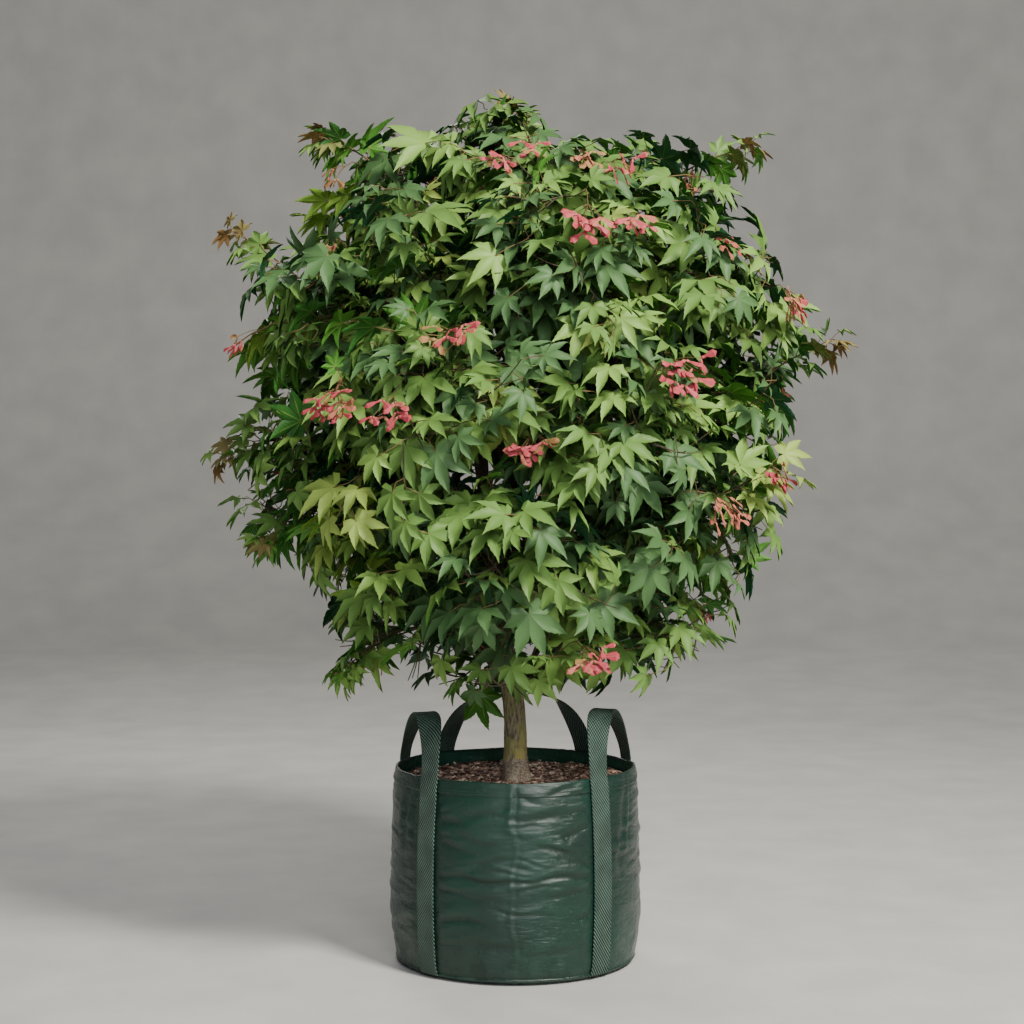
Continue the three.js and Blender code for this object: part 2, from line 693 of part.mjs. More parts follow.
// A twig from a place on the stem, with a leaf at its end. It returns the places for two side leaves.
function addTwig(mass, plant, start, heading, roll, random) {
  const [side, up] = crossDirections(heading);
  const twig = addBlade(mass, plant, false, () => {
    const turn = roll + radians((random() - 0.5) * TWIG.spread);
    const angle = radians(mix(...TWIG.angle, random()));
    const course = heading
      .clone()
      .multiplyScalar(Math.cos(angle))
      .addScaledVector(side, Math.sin(angle) * Math.cos(turn))
      .addScaledVector(up, Math.sin(angle) * Math.sin(turn));
    const end = start.clone().addScaledVector(course, mix(...TWIG.length, random()));
    const blade = leafBlade(end, course, LEAF.length * mix(0.85, 1.1, random()), random);
    return { points: [start, end], radii: TWIG.radii, blade };
  });
  if (!twig) return [];
  const fork = twig[0].clone().lerp(twig[1], TWIG.fork);
  const along = twig[1].clone().sub(twig[0]).normalize();
  const [flank] = crossDirections(along);
  return [flank, flank.clone().negate()].map((lean) => ({ fork, lean: lean.addScaledVector(along, 0.3) }));
}

// Opposite pairs of twigs along the stem, each pair turned a quarter from the one before, and then leaves
// on their sides, up to the mass's number.
function addTwigs(mass, plant, stem, random) {
  const sites = STEM.forks.flatMap(([segment, share], pair) => {
    const start = stem[segment].clone().lerp(stem[segment + 1], share);
    const heading = stem[segment + 1].clone().sub(stem[segment]).normalize();
    const roll = radians(90 * pair + 45);
    return [0, Math.PI].map((half) => addTwig(mass, plant, start, heading, roll + half, random));
  });
  [0, 1].forEach((flank) => {
    sites.forEach((site) => {
      if (!site[flank] || plant.length >= MASS.leaves + 3 * mass.shoots.length) return;
      const { fork, lean } = site[flank];
      addLeaf(mass, plant, false, fork, lean, LEAF.length * mix(0.8, 1.05, random()), random);
    });
  });
}

// A hanging pair of winged seeds, larger than life because it stands for a bunch.
function addSeeds(mass, plant, start, random) {
  addBlade(mass, plant, false, () => {
    const turn = mass.bearing + (random() - 0.5) * 2;
    const outward = point(Math.cos(turn), Math.sin(turn), 0);
    const end = start.clone().addScaledVector(outward, 20).add(point(0, 0, -SEED.stalk));
    const midrib = outward.clone().setZ(-3).normalize();
    const face = outward.addScaledVector(midrib, -outward.dot(midrib)).normalize();
    const { length, thickness, radii } = SEED;
    const blade = { outline: SEED_OUTLINE, midrib, face, length, thickness, droop: 0 };
    return { points: [start, end], radii, blade };
  });
}

// A long shoot, from a mass's stem out past the crown, with small leaves near its end.
function addShoot(mass, plant, start, tip, random) {
  const heading = tip.clone().sub(start).normalize();
  const end = tip.clone().addScaledVector(heading, -SHOOT_LEAF);
  const middle = start.clone().lerp(end, 0.5).add(point(0, 0, 8));
  const last = start.clone().lerp(end, 0.84).add(point(0, 0, 4));
  const shoot = addBlade(mass, plant, true, () => {
    const blade = leafBlade(end, heading, SHOOT_LEAF, random);
    return { points: [start, middle, last, end], radii: TWIG.radii, blade };
  });
  if (!shoot) return;
  const [side] = crossDirections(heading);
  [side, side.clone().negate()].forEach((lean) => {
    addLeaf(mass, plant, true, last, lean.addScaledVector(heading, 0.6), SHOOT_LEAF * 0.9, random);
  });
}

// The stem of a mass: from its foot through its middle to its outer side.
function stemPoints(mass) {
  const far = mass.middle.clone().addScaledVector(mass.outward, MASS.halfWidth * 0.41);
  if (mass.name in TIPPED) {
    const up = mass.name === "top" ? 62 : 40;
    far.copy(mass.middle).addScaledVector(mass.outward, 40).setZ(mass.middle.z + up);
  }
  const start = mass.foot.clone().addScaledVector(mass.heading, GAP);
  const second = start.clone().addScaledVector(mass.heading, 30);
  const middle = second.clone().lerp(far, 0.5).add(point(0, 0, 8));
  return [start, second, middle, far];
}

function growMass(mass, seed) {
  const random = randomStream(seed);
  const stem = stemPoints(mass);
  const [, , middle, far] = stem;
  const plant = [];
  const leafed = addBlade(mass, plant, false, () => {
    const blade = leafBlade(far, far.clone().sub(middle).normalize(), LEAF.length, random);
    return { points: stem, radii: STEM.radii, blade };
  });
  if (!leafed) {
    const bare = new THREE.CatmullRomCurve3(stem);
    plant.push(solidOf(limbOf(bare, 3, 3, (t) => mix(...STEM.radii, t))));
  }
  const midway = middle.clone().lerp(far, 0.12);
  mass.shoots.forEach((tip) => addShoot(mass, plant, midway, tip, random));
  if (SEEDED.includes(mass.name)) addSeeds(mass, plant, midway, random);
  addTwigs(mass, plant, stem, random);
  return wholeBody(wasm.Manifold.union(plant));
}

function nearestMass(place) {
  return masses.reduce((best, next) =>
    next.middle.distanceTo(place) < best.middle.distanceTo(place) ? next : best,
  );
}

masses.forEach((mass) => {
  mass.shoots = [];
});
SHOOT_TIPS.forEach((tip) => nearestMass(point(...tip)).shoots.push(point(...tip)));

addPiece("bag", bagGeometry(), COLOURS.bag);
addPiece("root_ball", soilGeometry(), COLOURS.soil);
HANDLES.forEach((handle) => addPiece(handle.name, strapGeometry(handle), COLOURS.strap));
addPiece("trunk", trunkGeometry(0), COLOURS.bark);
limbs.forEach((limb, i) => addPiece(limb.name, geometryOf(limbSolids[i]), COLOURS.wood));
masses.forEach((mass, i) => {
  addPiece(`foliage_${mass.name}`, geometryOf(growMass(mass, SEEDS.masses + SEEDS.step * i)), COLOURS.leaf);
});

export default group;
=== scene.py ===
"""Finish of a young maple that stands on its root ball in a round nursery bag of woven plastic.

The limbs, the foliage and the bag grow from the same named sizes and the same seeded rule as the solids
they stand for. Lengths are in millimetres until a mesh is made, and bearings are in degrees.
"""

from __future__ import annotations

import json
import logging
import math
from dataclasses import dataclass, field, replace
from enum import Enum
from itertools import product
from typing import Callable, Iterable, Sequence, Union

import bmesh
import bpy
import numpy as np
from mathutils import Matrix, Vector

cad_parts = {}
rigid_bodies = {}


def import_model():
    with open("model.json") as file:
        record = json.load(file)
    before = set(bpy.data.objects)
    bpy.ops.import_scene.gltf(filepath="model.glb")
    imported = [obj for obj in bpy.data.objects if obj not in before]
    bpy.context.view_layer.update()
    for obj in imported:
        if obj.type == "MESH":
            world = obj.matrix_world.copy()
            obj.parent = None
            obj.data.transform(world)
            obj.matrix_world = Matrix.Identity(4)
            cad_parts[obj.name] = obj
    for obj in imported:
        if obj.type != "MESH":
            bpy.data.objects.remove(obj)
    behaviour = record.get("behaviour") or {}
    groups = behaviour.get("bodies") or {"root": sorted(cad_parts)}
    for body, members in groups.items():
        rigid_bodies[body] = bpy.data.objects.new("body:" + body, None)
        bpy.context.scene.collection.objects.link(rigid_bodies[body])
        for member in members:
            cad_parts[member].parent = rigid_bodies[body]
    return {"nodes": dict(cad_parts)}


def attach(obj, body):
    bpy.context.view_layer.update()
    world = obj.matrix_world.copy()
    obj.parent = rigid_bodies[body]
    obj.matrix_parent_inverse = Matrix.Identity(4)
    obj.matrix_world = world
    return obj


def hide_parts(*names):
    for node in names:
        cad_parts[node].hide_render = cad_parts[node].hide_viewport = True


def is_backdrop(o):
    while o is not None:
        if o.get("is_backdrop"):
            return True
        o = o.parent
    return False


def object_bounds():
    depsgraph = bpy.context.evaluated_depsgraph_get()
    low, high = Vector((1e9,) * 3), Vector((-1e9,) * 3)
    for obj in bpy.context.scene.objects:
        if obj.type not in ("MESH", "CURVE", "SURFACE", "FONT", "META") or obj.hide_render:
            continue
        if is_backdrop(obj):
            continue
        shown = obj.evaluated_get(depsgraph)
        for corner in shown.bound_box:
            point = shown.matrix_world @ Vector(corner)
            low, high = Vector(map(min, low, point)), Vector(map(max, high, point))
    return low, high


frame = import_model()
CAD_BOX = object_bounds()

log = logging.getLogger("maple")

MM = 0.001
TAU = 2 * math.pi
ROOT = "root"
Point = np.ndarray
Colour = tuple[float, float, float]
# A layer of relief: how far it is squeezed upwards, the size of its bumps, its seed and its height.
Layer = tuple[float, float, int, float]
Feed = Union[float, str, tuple, bpy.types.NodeSocket, bpy.types.ID]


def point(x: float, y: float, z: float) -> Point:
    """A place or direction as an array."""
    return np.array([x, y, z], float)


def mix(low: float, high: float, share: float) -> float:
    """The value at a share of the way from low to high."""
    return low + (high - low) * share


def smooth(low: float, high: float, value: float) -> float:
    """An eased step from 0 at low to 1 at high."""
    t = min(1.0, max(0.0, (value - low) / (high - low)))
    return t * t * (3 - 2 * t)


def smooth_many(low: float, high: float, values: np.ndarray) -> np.ndarray:
    """The eased step for an array of values."""
    t = np.clip((values - low) / (high - low), 0, 1)
    return t * t * (3 - 2 * t)


def unit(vector: Point) -> Point:
    """The vector at length 1."""
    return vector / max(1e-9, float(np.linalg.norm(vector)))


def square_to(axis: Point, vector: Point) -> Point:
    """The unit direction square to an axis that is nearest to a vector."""
    return unit(vector - axis * float(vector @ axis))


def level_out(place: Point) -> Point:
    """The level unit direction from the plant's upright axis to a place."""
    return unit(point(place[0], place[1], 0))


def cross_directions(heading: Point) -> tuple[Point, Point]:
    """Two unit directions square to a heading, the first as near level as it can be.

    Args:
        heading: The heading.

    Returns:
        The two directions.
    """
    level = point(1, 0, 0) if abs(heading[2]) > 0.95 else point(0, 0, 1)
    side = unit(np.cross(level, heading))
    return side, unit(np.cross(heading, side))


def relief(places: np.ndarray, size: float, seed: int) -> np.ndarray:
    """Smooth random relief over places.

    Args:
        places: An array of places, one a row.
        size: The size of a bump, in the places' own measure.
        seed: The number that the bumps grow from.

    Returns:
        A height from -1 to 1 for each place.
    """
    scaled = places / size
    cell = np.floor(scaled).astype(np.int64)
    part = scaled - cell
    ease = part * part * (3 - 2 * part)
    total = np.zeros(len(places))
    for corner in product((0, 1), repeat=3):
        at = cell + np.array(corner)
        code = (at[:, 0] * 73856093) ^ (at[:, 1] * 19349663) ^ (at[:, 2] * 83492791) ^ (seed * 26543579)
        code = ((code ^ (code >> 13)) * 1274126177) & 0xFFFFFFFF
        code = ((code ^ (code >> 16)) * 60493) & 0xFFFFFFFF
        weight = np.prod(np.where(np.array(corner), ease, 1 - ease), axis=1)
        total += weight * ((code & 0xFFFF) / 65535)
    return total * 2 - 1


def layered(places: np.ndarray, layers: Sequence[Layer]) -> np.ndarray:
    """The height of layers of relief on top of one another, for each place."""
    return sum(relief(places * (1, 1, squeeze), size, seed) * height for squeeze, size, seed, height in layers)


class RandomStream:
    """A repeatable stream of numbers from 0 to 1."""

    def __init__(self, seed: int) -> None:
        """Starts the stream from a seed."""
        self.state = seed & 0xFFFFFFFF

    def __call__(self) -> float:
        """The next number."""
        self.state = (self.state * 1664525 + 1013904223) & 0xFFFFFFFF
        return self.state / 4294967296

    def between(self, low: float, high: float) -> float:
        """The next number, spread over a range."""
        return mix(low, high, self())


class SmoothCurve:
    """A smooth curve through a few points, which bends most where they stand close."""

    def __init__(self, points: Iterable[Point]) -> None:
        """Takes the points in order."""
        self.points = [np.array(p, float) for p in points]

    def at(self, share: float) -> Point:
        """The place at a share of the way along.

        Args:
            share: The share, from 0 to 1.

        Returns:
            The place.
        """
        points = self.points
        last = len(points) - 1
        whole = min(int(math.floor(last * share)), last - 1)
        weight = last * share - whole
        p1, p2 = points[whole], points[whole + 1]
        p0 = points[whole - 1] if whole > 0 else 2 * points[0] - points[1]
        p3 = points[whole + 2] if whole + 2 <= last else 2 * points[last] - points[last - 1]
        d0, d1, d2 = (math.sqrt(np.linalg.norm(b - a)) for a, b in ((p0, p1), (p1, p2), (p2, p3)))
        d1 = d1 if d1 > 1e-4 else 1.0
        d0 = d0 if d0 > 1e-4 else d1
        d2 = d2 if d2 > 1e-4 else d1
        out = ((p1 - p0) / d0 - (p2 - p0) / (d0 + d1) + (p2 - p1) / d1) * d1
        into = ((p2 - p1) / d1 - (p3 - p1) / (d1 + d2) + (p3 - p2) / d2) * d1
        square = -3 * p1 + 3 * p2 - 2 * out - into
        cube = 2 * p1 - 2 * p2 + out + into
        return p1 + out * weight + square * weight**2 + cube * weight**3

    def heading(self, share: float) -> Point:
        """The unit direction at a share of the way along."""
        before, after = max(0.0, share - 1e-4), min(1.0, share + 1e-4)
        return unit(self.at(after) - self.at(before))

    def length(self) -> float:
        """The length of the curve."""
        places = [self.at(i / 24) for i in range(25)]
        return float(sum(np.linalg.norm(b - a) for a, b in zip(places, places[1:])))


def run_lengths(places: np.ndarray) -> np.ndarray:
    """The distance along a row of places from the first to each of them."""
    return np.concatenate([[0.0], np.cumsum(np.linalg.norm(np.diff(places, axis=0), axis=1))])


# Meshes


def linked(name: str, mesh: bpy.types.Mesh) -> bpy.types.Object:
    """A mesh as an object in the scene.

    Args:
        name: The object's name.
        mesh: The mesh.

    Returns:
        The object.
    """
    made = bpy.data.objects.new(name, mesh)
    bpy.context.scene.collection.objects.link(made)
    return made


def new_object(
    name: str,
    places: np.ndarray,
    faces: Sequence[Sequence[int]] = (),
    edges: Sequence[tuple[int, int]] = (),
    smooth_faces: bool = True,
) -> bpy.types.Object:
    """A mesh object at the origin.

    Args:
        name: The piece's name.
        places: Its corners in millimetres, one a row.
        faces: Its faces as lists of corner numbers.
        edges: Its edges where it has no faces.
        smooth_faces: Whether its faces are shaded as one smooth surface.

    Returns:
        The object, linked to the scene.
    """
    mesh = bpy.data.meshes.new(name)
    mesh.from_pydata((np.asarray(places, float) * MM).tolist(), list(edges), [list(face) for face in faces])
    mesh.polygons.foreach_set("use_smooth", [smooth_faces] * len(mesh.polygons))
    mesh.update()
    return linked(name, mesh)


def set_attribute(made: bpy.types.Object, label: str, kind: str, values: Sequence) -> None:
    """Stores a value for each corner of a mesh under a name."""
    layer = made.data.attributes.new(label, kind, "POINT")
    layer.data.foreach_set("vector" if kind == "FLOAT_VECTOR" else "value", np.array(values).ravel())


def corner_uv(made: bpy.types.Object, per_face: Sequence[Sequence[tuple[float, float]]]) -> None:
    """Gives a mesh its UV map, from one pair for each corner of each face."""
    layer = made.data.uv_layers.new(name="UVMap")
    layer.data.foreach_set("uv", [value for face in per_face for pair in face for value in pair])


@dataclass
class Sleeve:
    """A surface over rings of equal size, in a row along their length."""

    rings: np.ndarray
    close_start: bool = False
    close_end: bool = False

    def faces(self) -> list[list[int]]:
        """The faces between neighbouring rings, with a fan of faces over each closed end.

        Returns:
            The faces as lists of corner numbers.
        """
        count, sides = self.rings.shape[:2]
        made = []
        for ring in range(count - 1):
            for side in range(sides):
                a, b = ring * sides + side, ring * sides + (side + 1) % sides
                made.append([a, b, b + sides, a + sides])
        if self.close_start:
            made.append(list(range(sides))[::-1])
        if self.close_end:
            last = (count - 1) * sides
            made.append([last + side for side in range(sides)])
        return made

    def uv(self, across: Sequence[float], along: Sequence[float]) -> list[list[tuple[float, float]]]:
        """UV pairs for the faces.

        Args:
            across: The u of each point of a ring, with one more for the point that ends it.
            along: The v of each ring.

        Returns:
            A list of pairs for each face of faces().
        """
        pairs = []
        for low, high in zip(along, along[1:]):
            for left, right in zip(across, across[1:]):
                pairs.append([(left, low), (right, low), (right, high), (left, high)])
        for closed, v in ((self.close_start, along[0]), (self.close_end, along[-1])):
            if closed:
                pairs.append([(u, v) for u in across[:-1]])
        return pairs

    def build(self, name: str) -> bpy.types.Object:
        """The surface as an object."""
        return new_object(name, self.rings.reshape(-1, 3), self.faces())


# Materials


class Nodes:
    """A short way to add and join the nodes of one material or node group.

    A feed is a value for a socket, or the output socket that it is joined to.
    """

    def __init__(self, tree: bpy.types.NodeTree) -> None:
        """Works on a node tree."""
        self.tree = tree

    def add(self, kind: str, feeds: dict | None = None, **settings: object) -> bpy.types.Node:
        """Adds a node.

        Args:
            kind: The node's type.
            feeds: A feed for each socket, by the socket's name or number.
            settings: Properties of the node itself.

        Returns:
            The new node.
        """
        node = self.tree.nodes.new(kind)
        for key, value in settings.items():
            setattr(node, key, value)
        for key, value in (feeds or {}).items():
            self.feed(node.inputs[key], value)
        return node

    def feed(self, socket: bpy.types.NodeSocket, value: Feed) -> None:
        """Sets a socket, or joins it to an output.

        Args:
            socket: The input socket.
            value: Its feed.
        """
        if isinstance(value, bpy.types.NodeSocket):
            self.tree.links.new(value, socket)
        elif isinstance(value, tuple) and len(value) == 3 and socket.type == "RGBA":
            socket.default_value = (*value, 1.0)
        else:
            socket.default_value = value

    def math(self, operation: str, a: Feed, b: Feed = 0.0, c: Feed = 0.0) -> bpy.types.NodeSocket:
        """The output of a math node.

        Args:
            operation: What it does.
            a: Its first feed.
            b: Its second feed.
            c: Its third feed.

        Returns:
            The output socket.
        """
        node = self.add("ShaderNodeMath", operation=operation)
        for socket, value in zip(node.inputs, (a, b, c)):
            self.feed(socket, value)
        return node.outputs[0]

    def times(self, a: Feed, b: Feed) -> bpy.types.NodeSocket:
        """The product of two feeds."""
        return self.math("MULTIPLY", a, b)

    def scaled(self, value: Feed, factor: Feed, base: Feed) -> bpy.types.NodeSocket:
        """A feed times a factor, on top of a base."""
        return self.math("MULTIPLY_ADD", value, factor, base)

    def rest(self, value: Feed) -> bpy.types.NodeSocket:
        """One less a feed."""
        return self.math("SUBTRACT", 1.0, value)

    def blend(self, factor: Feed, low: Feed, high: Feed) -> bpy.types.NodeSocket:
        """The output of a colour mix.

        Args:
            factor: The share of the second colour.
            low: The first colour.
            high: The second colour.

        Returns:
            The output socket.
        """
        node = self.add("ShaderNodeMix", data_type="RGBA", clamp_factor=True)
        for socket, value in zip((node.inputs[0], node.inputs[6], node.inputs[7]), (factor, low, high)):
            self.feed(socket, value)
        return node.outputs[2]

    def noise(self, vector: Feed, scale: Feed, detail: float = 3.0, roughness: float = 0.55) -> bpy.types.NodeSocket:
        """The grey output of a noise texture."""
        feeds = {"Vector": vector, "Scale": scale, "Detail": detail, "Roughness": roughness}
        return self.add("ShaderNodeTexNoise", feeds).outputs["Fac"]

    def band(self, value: Feed, low: float, high: float) -> bpy.types.NodeSocket:
        """An eased step from 0 at low to 1 at high."""
        feeds = {"Value": value, "From Min": low, "From Max": high}
        return self.add("ShaderNodeMapRange", feeds, interpolation_type="SMOOTHSTEP").outputs[0]

    def stretched(self, vector: Feed, scale: tuple[float, float, float]) -> bpy.types.NodeSocket:
        """A vector scaled along each of its axes."""
        return self.add("ShaderNodeMapping", {"Vector": vector, "Scale": scale}).outputs[0]

    def parts(self, vector: Feed) -> list[bpy.types.NodeSocket]:
        """The three parts of a vector."""
        return list(self.add("ShaderNodeSeparateXYZ", {"Vector": vector}).outputs)

    def bump(self, height: Feed, strength: float, distance_mm: float) -> bpy.types.NodeSocket:
        """The normal of a bumped surface."""
        feeds = {"Height": height, "Strength": strength, "Distance": distance_mm * MM}
        return self.add("ShaderNodeBump", feeds).outputs[0]


def mottle_group() -> bpy.types.NodeTree:
    """The shared soft mottling of a natural surface, at two sizes.

    Returns:
        A node group with the inputs Vector, Size and Contrast and the outputs Mask and Fine.
    """
    if "mottle" in bpy.data.node_groups:
        return bpy.data.node_groups["mottle"]
    group = bpy.data.node_groups.new("mottle", "ShaderNodeTree")
    for name, side, kind in (
        ("Vector", "INPUT", "Vector"),
        ("Size", "INPUT", "Float"),
        ("Contrast", "INPUT", "Float"),
        ("Mask", "OUTPUT", "Float"),
        ("Fine", "OUTPUT", "Float"),
    ):
        group.interface.new_socket(name, in_out=side, socket_type=f"NodeSocket{kind}")
    nodes = Nodes(group)
    vector, size, contrast = nodes.add("NodeGroupInput").outputs[:3]
    broad = nodes.noise(vector, size, 3.0, 0.5)
    fine = nodes.noise(vector, nodes.times(size, 5.3), 2.0, 0.5)
    mask = nodes.scaled(nodes.math("SUBTRACT", broad, 0.5), contrast, 0.5)
    nodes.add("NodeGroupOutput", {0: nodes.add("ShaderNodeClamp", {"Value": mask}).outputs[0], 1: fine})
    return group


@dataclass
class Surface:
    """A new material with its nodes, its surface shader, and the mottling in it."""

    name: str
    size: float
    contrast: float

    def __post_init__(self) -> None:
        """Makes the material and places the mottling at its own size and contrast."""
        self.material = bpy.data.materials.new(self.name)
        self.material.use_nodes = True
        self.nodes = Nodes(self.material.node_tree)
        self.shader = self.material.node_tree.nodes["Principled BSDF"]
        where = self.nodes.add("ShaderNodeTexCoord")
        self.where, self.map = where.outputs["Object"], where.outputs["UV"]
        mottling = self.nodes.add("ShaderNodeGroup")
        mottling.node_tree = mottle_group()
        for key, value in (("Vector", self.where), ("Size", self.size), ("Contrast", self.contrast)):
            self.nodes.feed(mottling.inputs[key], value)
        self.mask, self.fine = mottling.outputs["Mask"], mottling.outputs["Fine"]

    def dress(self, colour: Feed, roughness: Feed, normal: Feed, specular: float = 0.5) -> bpy.types.Material:
        """Feeds the shader.

        Args:
            colour: The base colour.
            roughness: The roughness.
            normal: The normal.
            specular: The specular level.

        Returns:
            The finished material.
        """
        for key, value in (("Base Color", colour), ("Roughness", roughness), ("Normal", normal)):
            self.nodes.feed(self.shader.inputs[key], value)
        self.shader.inputs["Specular IOR Level"].default_value = specular
        return self.material


@dataclass(frozen=True)
class LeafFinish:
    """The finish of a leaf or seed wing: one plain tint, its veins and a paler underside."""

    name: str
    tint: Colour
    vein: Colour
    under: Colour
    roughness: float = 0.5
    shade: float = 0.72
    vein_edge: tuple[float, float] = (0.02, 0.15)
    rib_slant: float = -0.16
    rib_turns: float = 62.0
    specular: float = 0.25

    def build(self) -> bpy.types.Material:
        """Makes the material. Its UV map runs across each lobe from its vein, and along it.

        Returns:
            The material.
        """
        made = Surface(self.name, 26.0, 2.2)
        nodes = made.nodes
        blade = nodes.blend(made.mask, tuple(self.shade * c for c in self.tint), self.tint)
        across, along, _ = nodes.parts(made.map)
        vein = nodes.rest(nodes.band(across, *self.vein_edge))
        slant = nodes.scaled(across, self.rib_slant, along)
        ribs = nodes.band(nodes.math("SINE", nodes.times(slant, self.rib_turns)), 0.72, 1.0)
        side_vein = nodes.times(ribs, nodes.math("SUBTRACT", 0.3, nodes.times(across, 0.25)))
        face = nodes.blend(nodes.math("MAXIMUM", nodes.times(vein, 0.7), side_vein), blade, self.vein)
        back = nodes.add("ShaderNodeNewGeometry").outputs["Backfacing"]
        rough = nodes.scaled(made.fine, 0.16, self.roughness - 0.08)
        return made.dress(nodes.blend(back, face, self.under), rough, nodes.bump(made.fine, 0.25, 0.4), self.specular)


@dataclass(frozen=True)
class BarkFinish:
    """Bark: furrows along the limb, mottling, green algae and, low on the trunk, lichen over a graft, painted
    brightest on the right side as painted sunlight.
    """

    name: str
    ridge: Colour
    furrow: Colour
    algae: Colour
    algae_share: float
    graft_level: float | None = None
    stock_light: Colour = (0.36, 0.29, 0.215)
    stock_dark: Colour = (0.125, 0.098, 0.07)
    # A yellow that is partly lichen and partly painted sunlight on the trunk's right side.
    lichen_and_sunlight: Colour = (0.43, 0.36, 0.085)
    lichen_height: float = 80.0

    def build(self) -> bpy.types.Material:
        """Makes the material.

        Returns:
            The material.
        """
        made = Surface(self.name, 42.0, 3.2)
        nodes = made.nodes
        long_grain = nodes.noise(nodes.stretched(made.where, (1, 1, 0.22)), 260.0, 5.0, 0.6)
        cross_grain = nodes.noise(nodes.stretched(made.where, (1, 1, 3.4)), 210.0, 3.0)
        base = nodes.blend(nodes.band(long_grain, 0.36, 0.62), self.furrow, self.ridge)
        colour = nodes.blend(nodes.times(nodes.band(made.mask, 0.42, 0.8), self.algae_share), base, self.algae)
        if self.graft_level is not None:
            colour = self.grafted(made, colour)
        height = nodes.scaled(cross_grain, 0.45, long_grain)
        return made.dress(colour, nodes.scaled(long_grain, 0.2, 0.66), nodes.bump(height, 0.55, 0.9))

    def grafted(self, made: Surface, colour: Feed) -> bpy.types.NodeSocket:
        """Greyer bark below the graft and a collar of lichen above it, strongest on the right side, where it is
        painted sunlight.

        Args:
            made: The surface.
            colour: The bark's colour so far.

        Returns:
            The finished colour.
        """
        nodes = made.nodes
        rightward, _, level = nodes.parts(made.where)
        wander = nodes.scaled(nodes.noise(made.where, 55.0), 0.012, level)
        low = (self.graft_level + 6) * MM
        stock = nodes.rest(nodes.band(wander, low - 0.001, low + 0.001))
        rough_patch = nodes.noise(made.where, 340.0, 4.0, 0.7)
        grey = nodes.blend(nodes.band(rough_patch, 0.4, 0.62), self.stock_dark, self.stock_light)
        colour = nodes.blend(stock, colour, grey)
        above = nodes.times(nodes.rest(stock), nodes.band(wander, low + self.lichen_height * MM, low))
        crust = nodes.band(nodes.scaled(rough_patch, 0.6, made.mask), 0.62, 0.95)
        # Stronger on the trunk's right side, where the light falls: painted sunlight.
        lit = nodes.scaled(nodes.band(rightward, -0.016, 0.014), 0.55, 0.12)
        return nodes.blend(nodes.times(nodes.times(above, crust), lit), colour, self.lichen_and_sunlight)


@dataclass(frozen=True)
class WovenFinish:
    """Glossy woven plastic: flat tapes over and under each other, ridges painted pale as painted highlight, creases
    painted dark as painted shade, and a film of dust.
    """

    name: str
    tint: Colour
    dark: Colour
    dust: Colour
    painted_highlight: Colour
    lining: Colour
    tape: float = 2.4
    # Shares of painted shade in the creases and of painted highlight on the ridges.
    shaded: float = 0.4
    highlight_share: float = 0.1
    dusty: float = 0.2
    splashed: float = 0.3
    splash_level: float = 110.0
    roughness: float = 0.15
    specular: float = 0.46

    def build(self) -> bpy.types.Material:
        """Makes the material. Its UV map is in metres round and up the bag, and its attributes tell how far each
        place stands out of the wall, for the painted highlights and painted shade, and which places are inside.

        Returns:
            The material.
        """
        made = Surface(self.name, 7.0, 2.0)
        nodes = made.nodes
        turns = TAU / (2 * self.tape * MM)
        warp, weft = (nodes.math("SINE", nodes.times(part, turns)) for part in nodes.parts(made.map)[:2])
        weave = nodes.times(warp, weft)
        wear, lining = (
            nodes.add("ShaderNodeAttribute", attribute_name=name).outputs["Fac"] for name in ("wear", "lining")
        )
        ridge = nodes.band(wear, 0.5, 1.0)
        low = nodes.times(
            nodes.band(nodes.parts(made.where)[2], self.splash_level * MM, 0.0), nodes.band(made.fine, 0.35, 0.75)
        )
        colour = nodes.blend(made.mask, self.dark, self.tint)
        # The creases are painted dark as painted shade and the ridges pale as painted highlight; then the inside,
        # dust in the weave and dust splashed low down.
        for share, tint in (
            (nodes.times(nodes.band(wear, 0.4, 0.0), self.shaded), self.dark),
            (nodes.times(ridge, self.highlight_share), self.painted_highlight),
            (lining, self.lining),
            (nodes.times(nodes.band(weave, -0.9, 0.9), self.dusty), self.dust),
            (nodes.times(low, self.splashed), self.dust),
        ):
            colour = nodes.blend(share, colour, tint)
        scuffed = nodes.scaled(made.fine, 0.22, nodes.scaled(ridge, -0.03, self.roughness))
        creases = nodes.noise(nodes.stretched(made.where, (1, 1, 2.2)), 22.0, 3.0, 0.5)
        crinkles = nodes.noise(nodes.stretched(made.where, (1, 1, 3.2)), 62.0, 4.0, 0.6)
        height = nodes.scaled(weave, 0.07, nodes.times(nodes.scaled(crinkles, 0.75, creases), 1.1))
        return made.dress(colour, nodes.scaled(low, 0.3, scuffed), nodes.bump(height, 0.75, 3.0), self.specular)


@dataclass(frozen=True)
class WebbingFinish:
    """Twilled webbing: slanting ribs painted pale as painted highlight, between gaps painted dark as painted shade.
    """

    name: str
    rib: Colour
    gap: Colour
    pitch: float = 7.0
    slant: float = 1.35
    specular: float = 0.3

    def build(self) -> bpy.types.Material:
        """Makes the material. Its UV map is in metres across and along the strap.

        Returns:
            The material.
        """
        made = Surface(self.name, 30.0, 2.4)
        nodes = made.nodes
        turns = TAU / (self.pitch * MM)
        across, along, _ = nodes.parts(made.map)
        rib, counter = (
            nodes.math("SINE", nodes.scaled(across, side * turns * self.slant, nodes.times(along, turns)))
            for side in (1, -1)
        )
        broken = nodes.scaled(counter, 0.5, rib)
        # The ribs are painted pale as painted highlight and the gaps dark as painted shade, unevenly by the mottling.
        painted_highlight = nodes.times(nodes.band(broken, -0.7, 0.9), nodes.scaled(made.mask, 0.5, 0.6))
        colour = nodes.blend(painted_highlight, self.gap, self.rib)
        return made.dress(colour, nodes.scaled(made.fine, 0.2, 0.5), nodes.bump(broken, 0.9, 0.8), self.specular)


